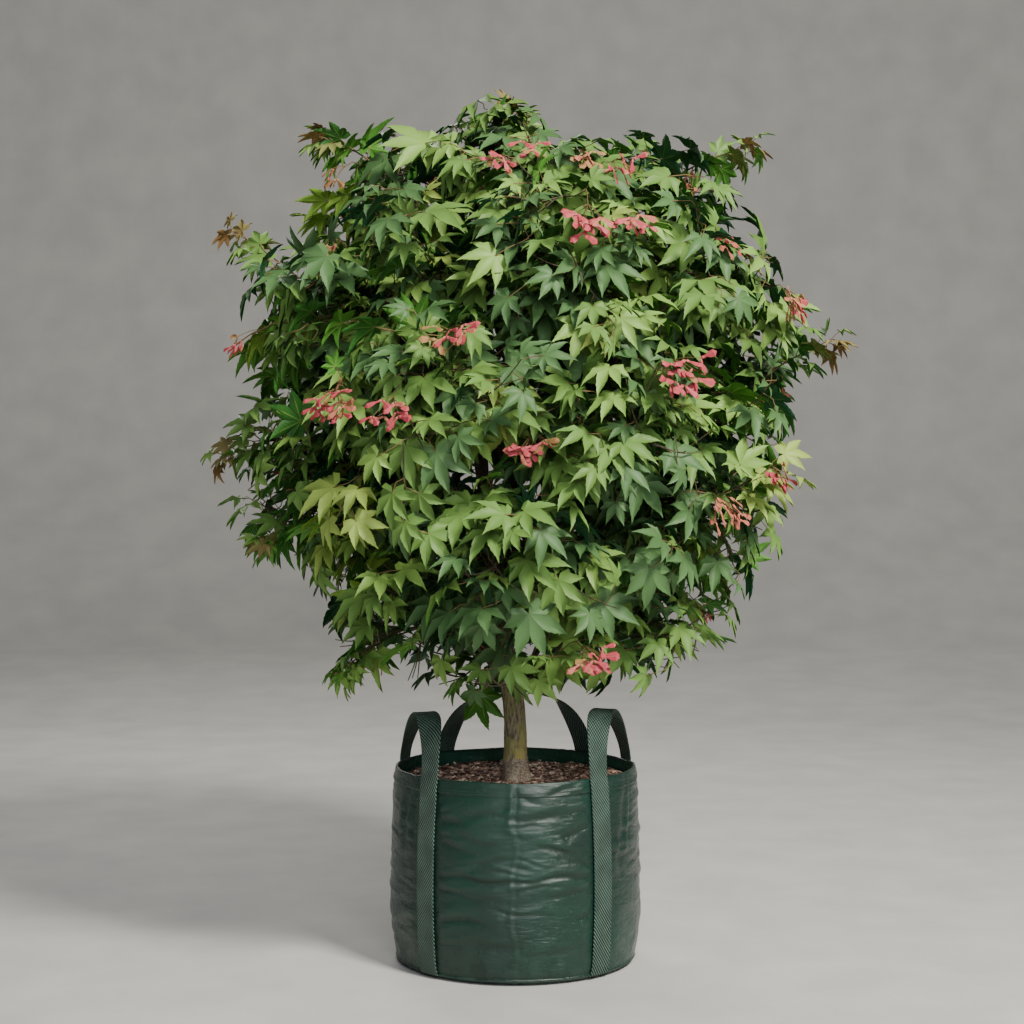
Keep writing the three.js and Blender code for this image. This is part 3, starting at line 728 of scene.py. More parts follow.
@dataclass(frozen=True)
class GrainFinish:
    """A matt, grainy surface of two mingled tints: mulch, thread or paving."""

    name: str
    light: Colour
    dark: Colour
    size: float
    roughness: float = 0.85
    depth: float = 0.6

    def build(self) -> bpy.types.Material:
        """Makes the material.

        Returns:
            The material.
        """
        made = Surface(self.name, self.size, 3.0)
        nodes = made.nodes
        colour = nodes.blend(made.mask, self.dark, self.light)
        rough = nodes.scaled(made.fine, 0.12, self.roughness - 0.06)
        return made.dress(colour, rough, nodes.bump(made.fine, 0.5, self.depth))


class Tint(Enum):
    """The tints that leaves come in, dealt out by spray."""

    DEEP = LeafFinish("leaf_deep", (0.012, 0.07, 0.027), (0.07, 0.18, 0.05), (0.07, 0.15, 0.05))
    MID = LeafFinish("leaf_mid", (0.032, 0.138, 0.022), (0.16, 0.31, 0.06), (0.12, 0.23, 0.05))
    LIGHT = LeafFinish("leaf_light", (0.068, 0.228, 0.026), (0.26, 0.42, 0.1), (0.19, 0.33, 0.07))
    LIME = LeafFinish("leaf_lime", (0.18, 0.33, 0.045), (0.35, 0.47, 0.12), (0.27, 0.38, 0.08))
    BRONZE = LeafFinish("leaf_bronze", (0.125, 0.165, 0.04), (0.27, 0.22, 0.07), (0.2, 0.22, 0.07))
    YOUNG = LeafFinish("leaf_young_red", (0.2, 0.12, 0.045), (0.29, 0.14, 0.06), (0.21, 0.17, 0.06))


# Geometry nodes


class Builder:
    """A geometry node group with named inputs, run on a mesh and turned into plain mesh."""

    def __init__(self, name: str, inputs: dict[str, str]) -> None:
        """Makes the group.

        Args:
            name: The group's name.
            inputs: The kind of socket of each input after the geometry, by the input's name.
        """
        self.group = bpy.data.node_groups.new(name, "GeometryNodeTree")
        self.group.interface.new_socket("Geometry", in_out="INPUT", socket_type="NodeSocketGeometry")
        self.sockets = {
            label: self.group.interface.new_socket(label, in_out="INPUT", socket_type=f"NodeSocket{kind}").identifier
            for label, kind in inputs.items()
        }
        self.group.interface.new_socket("Geometry", in_out="OUTPUT", socket_type="NodeSocketGeometry")
        self.nodes = Nodes(self.group)
        self.inside = self.nodes.add("NodeGroupInput")
        self.outside = self.nodes.add("NodeGroupOutput")

    def given(self, label: str) -> bpy.types.NodeSocket:
        """The output socket of a named input."""
        return self.inside.outputs[label]

    def attribute(self, label: str, kind: str) -> bpy.types.NodeSocket:
        """A named attribute of the mesh."""
        node = self.nodes.add("GeometryNodeInputNamedAttribute", {"Name": label}, data_type=kind)
        return node.outputs["Attribute"]

    def ends_in(self, geometry: bpy.types.NodeSocket) -> None:
        """Realizes the instances and gives them the group's material.

        Args:
            geometry: What the group has made.
        """
        real = self.nodes.add("GeometryNodeRealizeInstances", {"Geometry": geometry})
        feeds = {"Geometry": real.outputs[0], "Material": self.given("Material")}
        self.nodes.feed(self.outside.inputs[0], self.nodes.add("GeometryNodeSetMaterial", feeds).outputs[0])

    def run(self, name: str, source: bpy.types.Object, values: dict) -> bpy.types.Object:
        """Runs the group on a mesh.

        Args:
            name: The name of the finished piece.
            source: The mesh object it works on, which is removed.
            values: A value for each named input.

        Returns:
            The finished piece as plain mesh.
        """
        modifier = source.modifiers.new("grow", "NODES")
        modifier.node_group = self.group
        for label, value in values.items():
            modifier[self.sockets[label]] = value
        graph = bpy.context.evaluated_depsgraph_get()
        mesh = bpy.data.meshes.new_from_object(source.evaluated_get(graph))
        mesh.name = name
        bpy.data.objects.remove(source)
        return linked(name, mesh)


def placing_builder() -> Builder:
    """Sets a shape on every point, turned to the point's face and midrib and scaled to its size.

    Returns:
        The builder, with the inputs Shapes, Size, Size Spread, Seed and Material.
    """
    kinds = {"Shapes": "Collection", "Size": "Float", "Size Spread": "Float", "Seed": "Int", "Material": "Material"}
    made = Builder("set_shapes", kinds)
    nodes = made.nodes
    feeds = {"Collection": made.given("Shapes"), "Separate Children": True, "Reset Children": True}
    shapes = nodes.add("GeometryNodeCollectionInfo", feeds)
    directions = {0: made.attribute("face", "FLOAT_VECTOR"), 1: made.attribute("midrib", "FLOAT_VECTOR")}
    turn = nodes.add("FunctionNodeAxesToRotation", directions, primary_axis="Z", secondary_axis="Y")
    spread = nodes.add("FunctionNodeRandomValue", data_type="FLOAT")
    low, high = (socket for socket in spread.inputs if socket.type == "VALUE" and socket.enabled)
    nodes.feed(low, nodes.rest(made.given("Size Spread")))
    nodes.feed(high, nodes.math("ADD", 1.0, made.given("Size Spread")))
    nodes.feed(spread.inputs["Seed"], made.given("Seed"))
    own = nodes.times(made.attribute("size", "FLOAT"), made.given("Size"))
    feeds = {
        "Points": made.given("Geometry"),
        "Instance": shapes.outputs[0],
        "Pick Instance": True,
        "Instance Index": made.attribute("variant", "INT"),
        "Rotation": turn.outputs[0],
        "Scale": nodes.times(own, next(socket for socket in spread.outputs if socket.enabled)),
    }
    made.ends_in(nodes.add("GeometryNodeInstanceOnPoints", feeds).outputs[0])
    return made


def tube_builder() -> Builder:
    """Turns each line of a mesh into a tapering tube, by the thickness at its points.

    Returns:
        The builder, with the inputs Sides, Thickness and Material.
    """
    made = Builder("grow_tubes", {"Sides": "Int", "Thickness": "Float", "Material": "Material"})
    nodes = made.nodes
    lines = nodes.add("GeometryNodeMeshToCurve", {"Mesh": made.given("Geometry")})
    radius = nodes.times(made.attribute("thickness", "FLOAT"), made.given("Thickness"))
    outline = nodes.add("GeometryNodeCurvePrimitiveCircle", {"Resolution": made.given("Sides"), "Radius": 1.0})
    sweep = {"Curve": lines.outputs[0], "Profile Curve": outline.outputs[0], "Scale": radius, "Fill Caps": True}
    made.ends_in(nodes.add("GeometryNodeCurveToMesh", sweep).outputs[0])
    return made


@dataclass
class Places:
    """Points that shapes are set on."""

    at: list[Point] = field(default_factory=list)
    midrib: list[Point] = field(default_factory=list)
    face: list[Point] = field(default_factory=list)
    size: list[float] = field(default_factory=list)
    variant: list[int] = field(default_factory=list)

    def add(self, at: Point, midrib: Point, face: Point, size: float, variant: int = 0) -> None:
        """Adds a point.

        Args:
            at: Where it is.
            midrib: The direction that the shape's length takes there.
            face: The direction that its face takes.
            size: Its length.
            variant: The number of the shape.
        """
        self.at.append(at)
        self.midrib.append(midrib)
        self.face.append(face)
        self.size.append(size)
        self.variant.append(variant)

    def mesh(self, name: str) -> bpy.types.Object:
        """The points as a mesh with their directions, sizes and shape numbers.

        Args:
            name: The mesh's name.

        Returns:
            The mesh's object.
        """
        made = new_object(name, np.array(self.at))
        set_attribute(made, "face", "FLOAT_VECTOR", self.face)
        set_attribute(made, "midrib", "FLOAT_VECTOR", self.midrib)
        set_attribute(made, "size", "FLOAT", np.array(self.size) * MM)
        set_attribute(made, "variant", "INT", self.variant)
        return made


@dataclass
class Lines:
    """Lines that tubes are grown on."""

    paths: list[np.ndarray] = field(default_factory=list)
    radii: list[np.ndarray] = field(default_factory=list)

    def add(self, path: Sequence[Point], radii: Sequence[float]) -> None:
        """Adds a line with the radius at each of its points."""
        self.paths.append(np.array(path))
        self.radii.append(np.array(radii, float))

    def taper(self, curve: SmoothCurve, steps: int, thick: float, thin: float) -> None:
        """Adds a curve as a line of so many steps that thins evenly towards its end."""
        shares = [i / steps for i in range(steps + 1)]
        self.add([curve.at(share) for share in shares], [mix(thick, thin, share) for share in shares])

    def mesh(self, name: str) -> bpy.types.Object:
        """The lines as a mesh of edges with their thickness in metres.

        Args:
            name: The mesh's name.

        Returns:
            The mesh's object.
        """
        edges, first = [], 0
        for path in self.paths:
            edges += [(first + i, first + i + 1) for i in range(len(path) - 1)]
            first += len(path)
        made = new_object(name, np.concatenate(self.paths), edges=edges)
        set_attribute(made, "thickness", "FLOAT", np.concatenate(self.radii) * MM)
        return made


# Limbs


@dataclass
class Limb:
    """A tapering limb along a curve."""

    name: str
    curve: SmoothCurve
    radius: float
    tip_radius: float

    def radius_at(self, share: float) -> float:
        """The radius at a share of the way along."""
        return mix(self.radius, self.tip_radius, share)

    def share_at_level(self, level: float) -> float:
        """The place on the limb nearest to a level."""
        levels = [abs(self.curve.at(i / 60)[2] - level) for i in range(61)]
        return int(np.argmin(levels)) / 60

    def rings(self, steps: int, sides: int, radius_at: Callable[[float, np.ndarray], np.ndarray]) -> np.ndarray:
        """Rings along the limb.

        Args:
            steps: How many steps it is made in.
            sides: The number of points in a ring.
            radius_at: The radii of a ring, from the share along and the angles round it.

        Returns:
            An array of rings of places.
        """
        side = cross_directions(self.curve.heading(0))[0]
        angles = np.arange(sides) * TAU / sides
        rings = []
        for step in range(steps + 1):
            share = step / steps
            along = self.curve.heading(share)
            side = square_to(along, side)
            across = np.cross(along, side)
            radii = radius_at(share, angles)[:, None]
            spokes = np.cos(angles)[:, None] * side + np.sin(angles)[:, None] * across
            rings.append(self.curve.at(share) + radii * spokes)
        return np.array(rings)


@dataclass
class TrunkShape:
    """The trunk: a flared foot, a graft low down, and a lean to the left up to its fork."""

    foot: float = 312.3
    fork: float = 592.0
    lean: tuple[float, float] = (-30.0, 4.0)
    foot_radius: float = 23.5
    foot_share: float = 0.2
    radius: float = 22.0
    fork_radius: float = 16.0
    closing: tuple[float, float] = (0.975, 0.0262)
    flare_height: float = 46.0
    flare: float = 6.5
    buttresses: int = 3
    graft_level: float = 352.0
    graft_height: float = 7.0
    graft_swell: float = 1.3
    cleft_bearing: float = -62.0
    cleft_width: float = 13.0
    cleft_depth: float = 4.5
    cleft_height: float = 22.0
    bark: tuple[Layer, ...] = ((0.2, 5.0, 3, 0.42), (0.35, 2.4, 5, 0.22), (1.0, 22.0, 7, 0.7), (3.0, 8.0, 9, 0.22))
    steps: int = 116
    sides: int = 72

    def curve(self) -> SmoothCurve:
        """The trunk's middle line: upright at the ground, then leaning.

        Returns:
            The line as a curve.
        """
        x, y = self.lean
        places = [point(0, 0, self.foot)]
        for aside, back, share in ((0.0, 0.0, 0.22), (0.12, 0.0, 0.5), (0.55, 0.5, 0.78)):
            places.append(point(x * aside, y * back, mix(self.foot, self.fork, share)))
        return SmoothCurve([*places, point(x, y, self.fork)])

    def limb(self) -> Limb:
        """The trunk as a limb that others leave."""
        return Limb("trunk", self.curve(), self.radius, self.fork_radius)

    def outline(self, share: float, angles: np.ndarray) -> np.ndarray:
        """The radii round the trunk.

        Args:
            share: The share of its height.
            angles: The angles round it.

        Returns:
            A radius for each angle.
        """
        bare = mix(self.radius, self.fork_radius, share)
        if share < self.foot_share:
            bare = mix(self.foot_radius, bare, smooth(0, self.foot_share, share))
        near = (1 - smooth(0, self.flare_height / (self.fork - self.foot), share)) ** 2
        lobes = 0.5 + 0.5 * np.cos(self.buttresses * angles + 0.8)
        level = mix(self.foot, self.fork, share)
        swell = self.graft_swell * math.exp(-(((level - self.graft_level) / self.graft_height) ** 2))
        radii = bare + self.flare * near * lobes + swell
        start, length = self.closing
        if share > start:
            radii = radii * math.sqrt(max(0.0, 1 - ((share - start) / length) ** 2))
        return radii

    def build(self) -> bpy.types.Object:
        """The trunk with its bark, its graft and the cleft at its foot.

        Returns:
            The trunk.
        """
        rings = self.limb().rings(self.steps, self.sides, self.outline)
        spokes = rings - rings.mean(axis=1, keepdims=True)
        reach = np.linalg.norm(spokes, axis=2, keepdims=True)
        spokes = spokes / np.maximum(reach, 1e-6)
        height = layered(rings.reshape(-1, 3), self.bark).reshape(reach.shape)
        angle = np.degrees(np.arctan2(spokes[..., 1], spokes[..., 0]))
        away = np.abs((angle - self.cleft_bearing + 180) % 360 - 180)
        rise = rings[..., 2] - self.foot
        open_width = self.cleft_width * np.clip(1 - rise / self.cleft_height, 0, 1) + 1e-6
        cleft = self.cleft_depth * np.exp(-((away / open_width) ** 2)) * (rise < self.cleft_height)
        rings = rings + spokes * (height * smooth_many(0.0, 6.0, reach) - cleft[..., None])
        return Sleeve(rings, close_start=True, close_end=True).build("trunk_bark")


@dataclass
class LeaderShape:
    """One of the three limbs that the trunk forks into."""

    name: str
    start: float
    end: tuple[float, float, float]
    sway: tuple[float, float]
    bend: float
    radius: float
    tip_radius: float = 4.2

    def limb(self, trunk: Limb) -> Limb:
        """The leader as it leaves the trunk.

        Args:
            trunk: The trunk.

        Returns:
            The leader.
        """
        start, end = trunk.curve.at(self.start), np.array(self.end)
        places = []
        for share in (i / 6 for i in range(7)):
            reach = math.sin(math.pi / 2 * share) ** self.bend
            bow = math.sin(math.pi * share)
            x = mix(start[0], end[0], reach) + self.sway[0] * bow
            y = mix(start[1], end[1], reach) + self.sway[1] * bow
            places.append(point(x, y, mix(start[2], end[2], share)))
        return Limb(self.name, SmoothCurve(places), self.radius, self.tip_radius)


LEADERS = (
    LeaderShape("leader_left", 0.97, (-26, -8, 1330), (-34, -12), 1.0, 14.5),
    LeaderShape("leader_right", 0.84, (222, -4, 1250), (-22, 14), 1.25, 13.0),
    LeaderShape("leader_back", 0.9, (32, 196, 1215), (0, 12), 1.2, 11.5),
)


@dataclass(frozen=True)
class Tier:
    """One round of foliage masses."""

    name: str
    level: float
    count: int
    bearing: float
    inset: float


TIERS = (
    Tier("skirt", 542, 5, 54, 165),
    Tier("lower", 752, 5, 46, 160),
    Tier("middle", 952, 6, 2, 160),
    Tier("upper", 1158, 5, 350, 160),
    Tier("crest", 1342, 4, 8, 176),
    Tier("top", 1432, 1, 180, 0),
)
# The masses that stand on a leader's tip.
TIPPED = {"top": "leader_left", "crest_1": "leader_right", "crest_2": "leader_back"}
# The tips of the bare shoots that stand out of the crown.
SHOOT_TIPS = (
    *((28, -12, 1556), (-505, -40, 1296), (-352, -30, 1462), (424, -30, 1446)),
    *((570, -40, 1106), (-528, -60, 892), (-446, -90, 738), (-306, -130, 512)),
)


@dataclass
class Mass:
    """One mass of foliage: where it is, where its stem starts, and the tips of its shoots."""

    name: str
    middle: Point
    outward: Point
    distance: float
    foot: Point | None = None
    heading: Point | None = None
    shoots: list[Point] = field(default_factory=list)


@dataclass
class CrownPlan:
    """The crown: its outer surface, its masses and the limbs that carry them."""

    widest: float = 1050.0
    top: float = 1530.0
    bottom: float = 350.0
    half_width: float = 522.0
    half_depth: float = 485.0
    axis: float = 14.0
    low_level: float = 400.0
    low_share: float = 0.5
    low_span: float = 140.0
    top_line: tuple[tuple[float, float], ...] = (
        *((-330, 1455), (-270, 1415), (-190, 1460), (-110, 1485), (-50, 1530), (20, 1536)),
        *((52, 1500), (85, 1424), (130, 1436), (222, 1478), (330, 1462), (450, 1330)),
    )
    top_play: float = 8.0
    stagger: float = 34.0
    stray: tuple[float, float] = (12.0, 20.0)
    mass_width: float = 236.0
    mass_height: float = 172.0
    stem_foot: float = 30.0
    stem_share: float = 0.41
    tip_stem: float = 40.0
    top_stem: float = 62.0
    bough_radius: float = 6.6
    bough_tip: float = 3.6
    bough_short: float = 0.56
    bough_drop: float = 24.0
    bough_climb: float = 0.75
    bough_lowest: float = 150.0
    bough_bow: tuple[float, float] = (60.0, 0.3)
    trunk: TrunkShape = field(default_factory=TrunkShape)

    def __post_init__(self) -> None:
        """Works out the limbs and masses."""
        self.trunk_limb = self.trunk.limb()
        self.leaders = [leader.limb(self.trunk_limb) for leader in LEADERS]
        self.masses = [mass for number, tier in enumerate(TIERS) for mass in self.tier_masses(number, tier)]
        self.middles = np.array([mass.middle for mass in self.masses])
        self.boughs: list[Limb] = []
        for mass in self.masses:
            self.carry(mass)
        for tip in SHOOT_TIPS:
            place = np.array(tip, float)
            nearest = int(np.argmin(np.linalg.norm(self.middles - place, axis=1)))
            self.masses[nearest].shoots.append(place)

    def height(self, level: float) -> float:
        """How high a level is in the crown: -1 at its bottom, 0 where it is widest and 1 at its top."""
        half = self.top - self.widest if level > self.widest else self.widest - self.bottom
        return (level - self.widest) / half

    def reach(self, level: float, bearing: float) -> float:
        """How far the crown reaches from its axis at a level, in a bearing in radians.

        Args:
            level: The level.
            bearing: The bearing.

        Returns:
            The reach.
        """
        height = min(1.0, abs(self.height(level)))
        width = math.hypot(self.half_width * math.cos(bearing), self.half_depth * math.sin(bearing))
        return math.sqrt(1 - height * height) * width

    def tier_masses(self, number: int, tier: Tier) -> list[Mass]:
        """The masses of one tier.

        Args:
            number: The tier's number from the bottom, which seeds it.
            tier: Its sizes.

        Returns:
            The masses in order.
        """
        random = RandomStream(41 + number)
        alone = tier.count == 1
        turn_stray, level_stray = self.stray
        made = []
        for i in range(tier.count):
            bearing = math.radians(tier.bearing + 360 / tier.count * i + (random() - 0.5) * turn_stray)
            step = 0.0 if alone else (-self.stagger if i % 2 else self.stagger) + (random() - 0.5) * level_stray
            level = tier.level + step
            distance = 0.0 if alone else self.reach(level, bearing) - tier.inset
            x, y = math.cos(bearing), math.sin(bearing)
            name = tier.name if alone else f"{tier.name}_{i + 1}"
            middle = point(self.axis + distance * x, distance * y, level)
            made.append(Mass(name, middle, point(x, y, 0), distance))
        return made

    def carry(self, mass: Mass) -> None:
        """Stands a mass on its leader's tip, or gives it a bough from the nearest limb.

        Args:
            mass: The mass.
        """
        tipped = [leader for leader in self.leaders if leader.name == TIPPED.get(mass.name)]
        if tipped:
            mass.foot, mass.heading = tipped[0].curve.at(1), tipped[0].curve.heading(1)
            return
        foot = mass.middle - mass.outward * min(self.mass_width * self.bough_short, mass.distance * 0.5)
        drop = self.bough_drop + math.hypot(foot[0], foot[1]) * self.bough_climb
        wanted = point(foot[0], foot[1], max(foot[2] - drop, self.trunk.foot + self.bough_lowest))
        choices = []
        for limb in [self.trunk_limb, *self.leaders]:
            share = limb.share_at_level(wanted[2])
            choices.append((float(np.linalg.norm(limb.curve.at(share) - wanted)), limb, share))
        _, carrier, share = min(choices, key=lambda choice: choice[0])
        start = carrier.curve.at(share)
        highest, slope = self.bough_bow
        rise = min(highest, slope * float(np.linalg.norm(foot - start)))
        near = start + (foot - start) * 0.34 - point(0, 0, rise * 0.05)
        far = start + (foot - start) * 0.7 + point(0, 0, rise * 0.12)
        curve = SmoothCurve([start, near, far, foot])
        radius = min(self.bough_radius, carrier.radius_at(share) * 0.8)
        self.boughs.append(Limb(f"bough_{mass.name}", curve, radius, self.bough_tip))
        mass.foot, mass.heading = foot, curve.heading(1)

    def inside(self, place: Point, fray: float) -> bool:
        """Whether a place is within the crown's surface times the fray, drawn in towards the bottom.

        Args:
            place: The place.
            fray: The fray, as a share of the reach.

        Returns:
            Whether it is.
        """
        x, y = place[0] - self.axis, place[1]
        if place[2] > np.interp(place[0], *zip(*self.top_line)) + self.top_play:
            return False
        drawn = mix(self.low_share, 1.0, smooth(self.low_level, self.low_level + self.low_span, place[2]))
        return math.hypot(x, y) < self.reach(place[2], math.atan2(y, x)) * fray * drawn

    def depth(self, place: Point) -> float:
        """How near a place is to the crown's surface: 0 on its axis and 1 on the surface."""
        x, y, up = (place[0] - self.axis) / self.half_width, place[1] / self.half_depth, self.height(place[2])
        return math.sqrt(x**2 + y**2 + up * up)

    def own_ground(self, mass: Mass, place: Point, slack: float) -> bool:
        """Whether a place is nearer to a mass's middle than to its neighbours', give or take the slack.

        Args:
            mass: The mass.
            place: The place.
            slack: How far over the border it may be.

        Returns:
            Whether it is.
        """
        between = self.middles - mass.middle
        apart = np.linalg.norm(between, axis=1)
        others = apart > 1e-6
        halfway = (between[others] @ (place - mass.middle)) / apart[others]
        return bool(np.all(halfway < apart[others] / 2 + slack))

    def room(self, mass: Mass, place: Point, slack: float) -> bool:
        """Whether a place is in a mass's own space.

        Args:
            mass: The mass.
            place: The place.
            slack: How far out of the space it may be.

        Returns:
            Whether it is.
        """
        offset = place - mass.middle
        level = math.hypot(offset[0], offset[1]) / (self.mass_width + slack / 2)
        upright = offset[2] / (self.mass_height + slack / 2)
        return math.hypot(level, upright) <= 1 and self.own_ground(mass, place, slack)

    def stem(self, mass: Mass) -> list[Point]:
        """The stem of a mass: from its foot through its middle to its outer side.

        Args:
            mass: The mass.

        Returns:
            The places that the stem goes through.
        """
        far = mass.middle + mass.outward * self.mass_width * self.stem_share
        if mass.name in TIPPED:
            lift = self.top_stem if mass.name == "top" else self.tip_stem
            far = mass.middle + mass.outward * self.tip_stem + point(0, 0, lift)
        second = mass.foot + mass.heading * self.stem_foot
        middle = (second + far) / 2 + point(0, 0, 8)
        return [mass.foot, second, middle, far]


@dataclass
class LimbBark:
    """The leaders and boughs with their bark, a collar at each foot and scars round them."""

    plan: CrownPlan
    collar: float = 0.4
    collar_length: float = 26.0
    bark: tuple[Layer, ...] = ((0.3, 4.0, 11, 0.4), (1.0, 16.0, 13, 0.52))
    scar_pitch: float = 14.0
    scar_height: float = 1.6
    step: float = 6.0
    leader_sides: int = 26
    bough_sides: int = 14

    def sleeve(self, limb: Limb, sides: int) -> Sleeve:
        """One limb's surface.

        Args:
            limb: The limb.
            sides: The number of points in a ring.

        Returns:
            Its surface.
        """
        length = limb.curve.length()

        def radii(share: float, angles: np.ndarray) -> np.ndarray:
            """The radius round the limb, wider in the collar at its foot."""
            near = math.exp(-((share * length / self.collar_length) ** 2))
            return np.full(len(angles), limb.radius_at(share) * (1 + self.collar * near))

        rings = limb.rings(max(12, int(length / self.step)), sides, radii)
        centres = rings.mean(axis=1, keepdims=True)
        spokes = rings - centres
        reach = np.linalg.norm(spokes, axis=2, keepdims=True)
        flat = rings.reshape(-1, 3)
        scars = np.clip(relief(flat[:, 2:] * (1, 0, 0), self.scar_pitch, 17) - 0.55, 0, 1)
        height = layered(flat, self.bark) + scars * self.scar_height
        grow = 1 + height.reshape(reach.shape) * np.minimum(1.0, reach / 8) / np.maximum(reach, 1.0)
        return Sleeve(centres + spokes * grow, close_start=True, close_end=True)

    def build(self) -> bpy.types.Object:
        """All the leaders and boughs as one piece.

        Returns:
            The piece.
        """
        places, faces, first = [], [], 0
        for limbs, sides in ((self.plan.leaders, self.leader_sides), (self.plan.boughs, self.bough_sides)):
            for limb in limbs:
                sleeve = self.sleeve(limb, sides)
                flat = sleeve.rings.reshape(-1, 3)
                faces += [[first + i for i in face] for face in sleeve.faces()]
                places.append(flat)
                first += len(flat)
        return new_object("limb_bark", np.concatenate(places), faces)


# Leaves and seeds


def shape_collection(name: str, shapes: Sequence[bpy.types.Object]) -> bpy.types.Collection:
    """Gathers shapes in a collection of their own, out of the scene.

    Args:
        name: The collection's name.
        shapes: The shapes.

    Returns:
        The collection.
    """
    made = bpy.data.collections.new(name)
    for shape in shapes:
        for holder in list(shape.users_collection):
            holder.objects.unlink(shape)
        made.objects.link(shape)
    return made


def drop_collection(collection: bpy.types.Collection) -> None:
    """Removes a collection with its shapes.

    Args:
        collection: The collection.
    """
    for shape in list(collection.objects):
        bpy.data.objects.remove(shape)
    bpy.data.collections.remove(collection)


@dataclass
class Outline:
    """A small shape in the making: its corners, its faces and where each corner is on its map."""

    corners: list[Sequence[float]] = field(default_factory=list)
    faces: list[Sequence[int]] = field(default_factory=list)
    places: list[tuple[float, float]] = field(default_factory=list)

    def corner(self, at: Sequence[float], place: tuple[float, float]) -> None:
        """Adds a corner with its place on the map."""
        self.corners.append([float(value) for value in at])
        self.places.append(place)

    def face(self, numbers: Sequence[int], turned: bool = False) -> None:
        """Adds a face, turned over if that is asked."""
        self.faces.append(numbers[::-1] if turned else numbers)

    def build(self, name: str, smooth_faces: bool = True) -> bpy.types.Object:
        """The shape as an object, one unit long in metres.

        Args:
            name: Its name.
            smooth_faces: Whether it is shaded smooth.

        Returns:
            The object.
        """
        made = new_object(name, np.array(self.corners) / MM, self.faces, smooth_faces=smooth_faces)
        corner_uv(made, [[self.places[i] for i in face] for face in self.faces])
        return made


def spoke(bearing: float) -> Point:
    """The direction in a flat shape at a bearing from its length, in radians."""
    return point(math.sin(bearing), math.cos(bearing), 0.0)


@dataclass
class LeafShape:
    """A palmate leaf with toothed lobes, one unit from its hub to its middle tip.

    The teeth of a lobe are given by their reach along it and their share of its half width. The rim of the
    blade's foot is given by bearing, reach, distance from the vein, and lift.
    """

    bearings: tuple[float, ...] = (0.0, 42.0, 85.0)
    lengths: tuple[float, ...] = (1.0, 0.92, 0.68)
    stray: float = 5.0
    stretch: tuple[float, float] = (0.88, 1.06)
    basal_bearing: float = 130.0
    basal_length: float = 0.4
    basal_bay: float = 0.84
    sinus: float = 0.46
    half_width: float = 0.158
    teeth: tuple[tuple[float, float], ...] = (
        *((0.58, 1.0), (0.62, 0.84), (0.72, 0.76), (0.76, 0.56), (0.85, 0.38), (0.88, 0.23)),
    )
    middle: float = 0.53
    fold: float = 0.04
    droop: float = 0.27
    sag: tuple[float, float] = (0.4, 1.7)
    curl: float = 0.06
    twist: float = 0.14
    variants: int = 6

    def lobe(self, made: Outline, bearing: float, length: float, bays: tuple[float, float], sag: float) -> None:
        """Adds one lobe.

        Args:
            made: The leaf so far.
            bearing: Of its tip from the midrib, in degrees.
            length: From the hub to its tip.
            bays: Bearings of the bays on its left and on its right.
            sag: How far its tip droops.
        """
        along = spoke(math.radians(bearing))
        aside = point(along[1], -along[0], 0.0)
        hub = len(made.corners)

        def at(reach: float, width: float, lift: float) -> Point:
            """A place on the lobe.

            Args:
                reach: The share of its length.
                width: How far off its vein.
                lift: How far up.

            Returns:
                The place.
            """
            place = along * reach * length + aside * width
            place[2] = lift - sag * reach * reach * length
            return place

        made.corner((0.0, 0.0, 0.0), (0.0, 0.0))
        made.corner(at(self.middle, 0, -self.fold * 0.5), (0.0, 0.5))
        made.corner(at(1.0, 0, -self.curl), (0.25, 1.0))
        for side, turn in ((1, bays[1]), (-1, bays[0])):
            first = len(made.corners)
            bay = spoke(math.radians(turn)) * (self.sinus * (0.5 + 0.5 * length))
            made.corner((bay[0], bay[1], self.fold * 0.9), (1.0, 0.4))
            for reach, share in self.teeth:
                width = self.half_width * share * (0.45 + 0.55 * length)
                made.corner(at(reach, width * side, self.fold * share), (max(0.4, share), reach))
            made.face([hub, hub + 1, first + 1, first], side < 0)
            made.face([hub + 1, hub + 2, *range(first + len(self.teeth), first, -1)], side < 0)

    def build(self, variant: int) -> bpy.types.Object:
        """One variant of the leaf.

        Args:
            variant: Its number, which seeds it.

        Returns:
            The leaf.
        """
        random = RandomStream(900 + 17 * variant)
        turns = [(0.0, self.lengths[0])]
        for bearing, length in zip(self.bearings[1:], self.lengths[1:]):
            for side in (-1, 1):
                turn = side * bearing + random.between(-self.stray, self.stray)
                turns.append((turn, length * random.between(*self.stretch)))
        turns.sort()
        outer = self.basal_bearing
        last_bay = outer * self.basal_bay
        bays = [-last_bay, *[(a[0] + b[0]) / 2 for a, b in zip(turns, turns[1:])], last_bay]
        made = Outline()
        for number, (bearing, length) in enumerate(turns):
            sag = self.droop * random.between(*self.sag)
            self.lobe(made, bearing, length, (bays[number], bays[number + 1]), sag)
        rim = (
            (last_bay, self.sinus * 0.84, 1.0, self.fold * 0.9),
            (outer, self.basal_length, 0.4, -self.curl * self.basal_length),
            (outer * 1.2, 0.18, 1.0, -self.curl * 0.18),
        )
        for side in (-1, 1):
            first = len(made.corners)
            for bearing, reach, off, lift in rim:
                place = spoke(math.radians(bearing * side)) * reach
                made.corner((place[0], place[1], lift), (off, reach))
            made.corner((0.0, 0.0, 0.0), (0.0, 0.0))
            made.face([first + 3, first, first + 1, first + 2], side < 0)
        twist = random.between(-self.twist, self.twist)
        for corner in made.corners:
            corner[2] += twist * corner[0] * corner[1]
        leaf = made.build(f"leaf_shape_{variant}")
        weld(leaf)
        return leaf


def weld(made: bpy.types.Object) -> None:
    """Joins the corners of a shape that lie in one place.

    Args:
        made: The shape.
    """
    mesh = bmesh.new()
    mesh.from_mesh(made.data)
    bmesh.ops.remove_doubles(mesh, verts=mesh.verts, dist=1e-5)
    mesh.to_mesh(made.data)
    mesh.free()


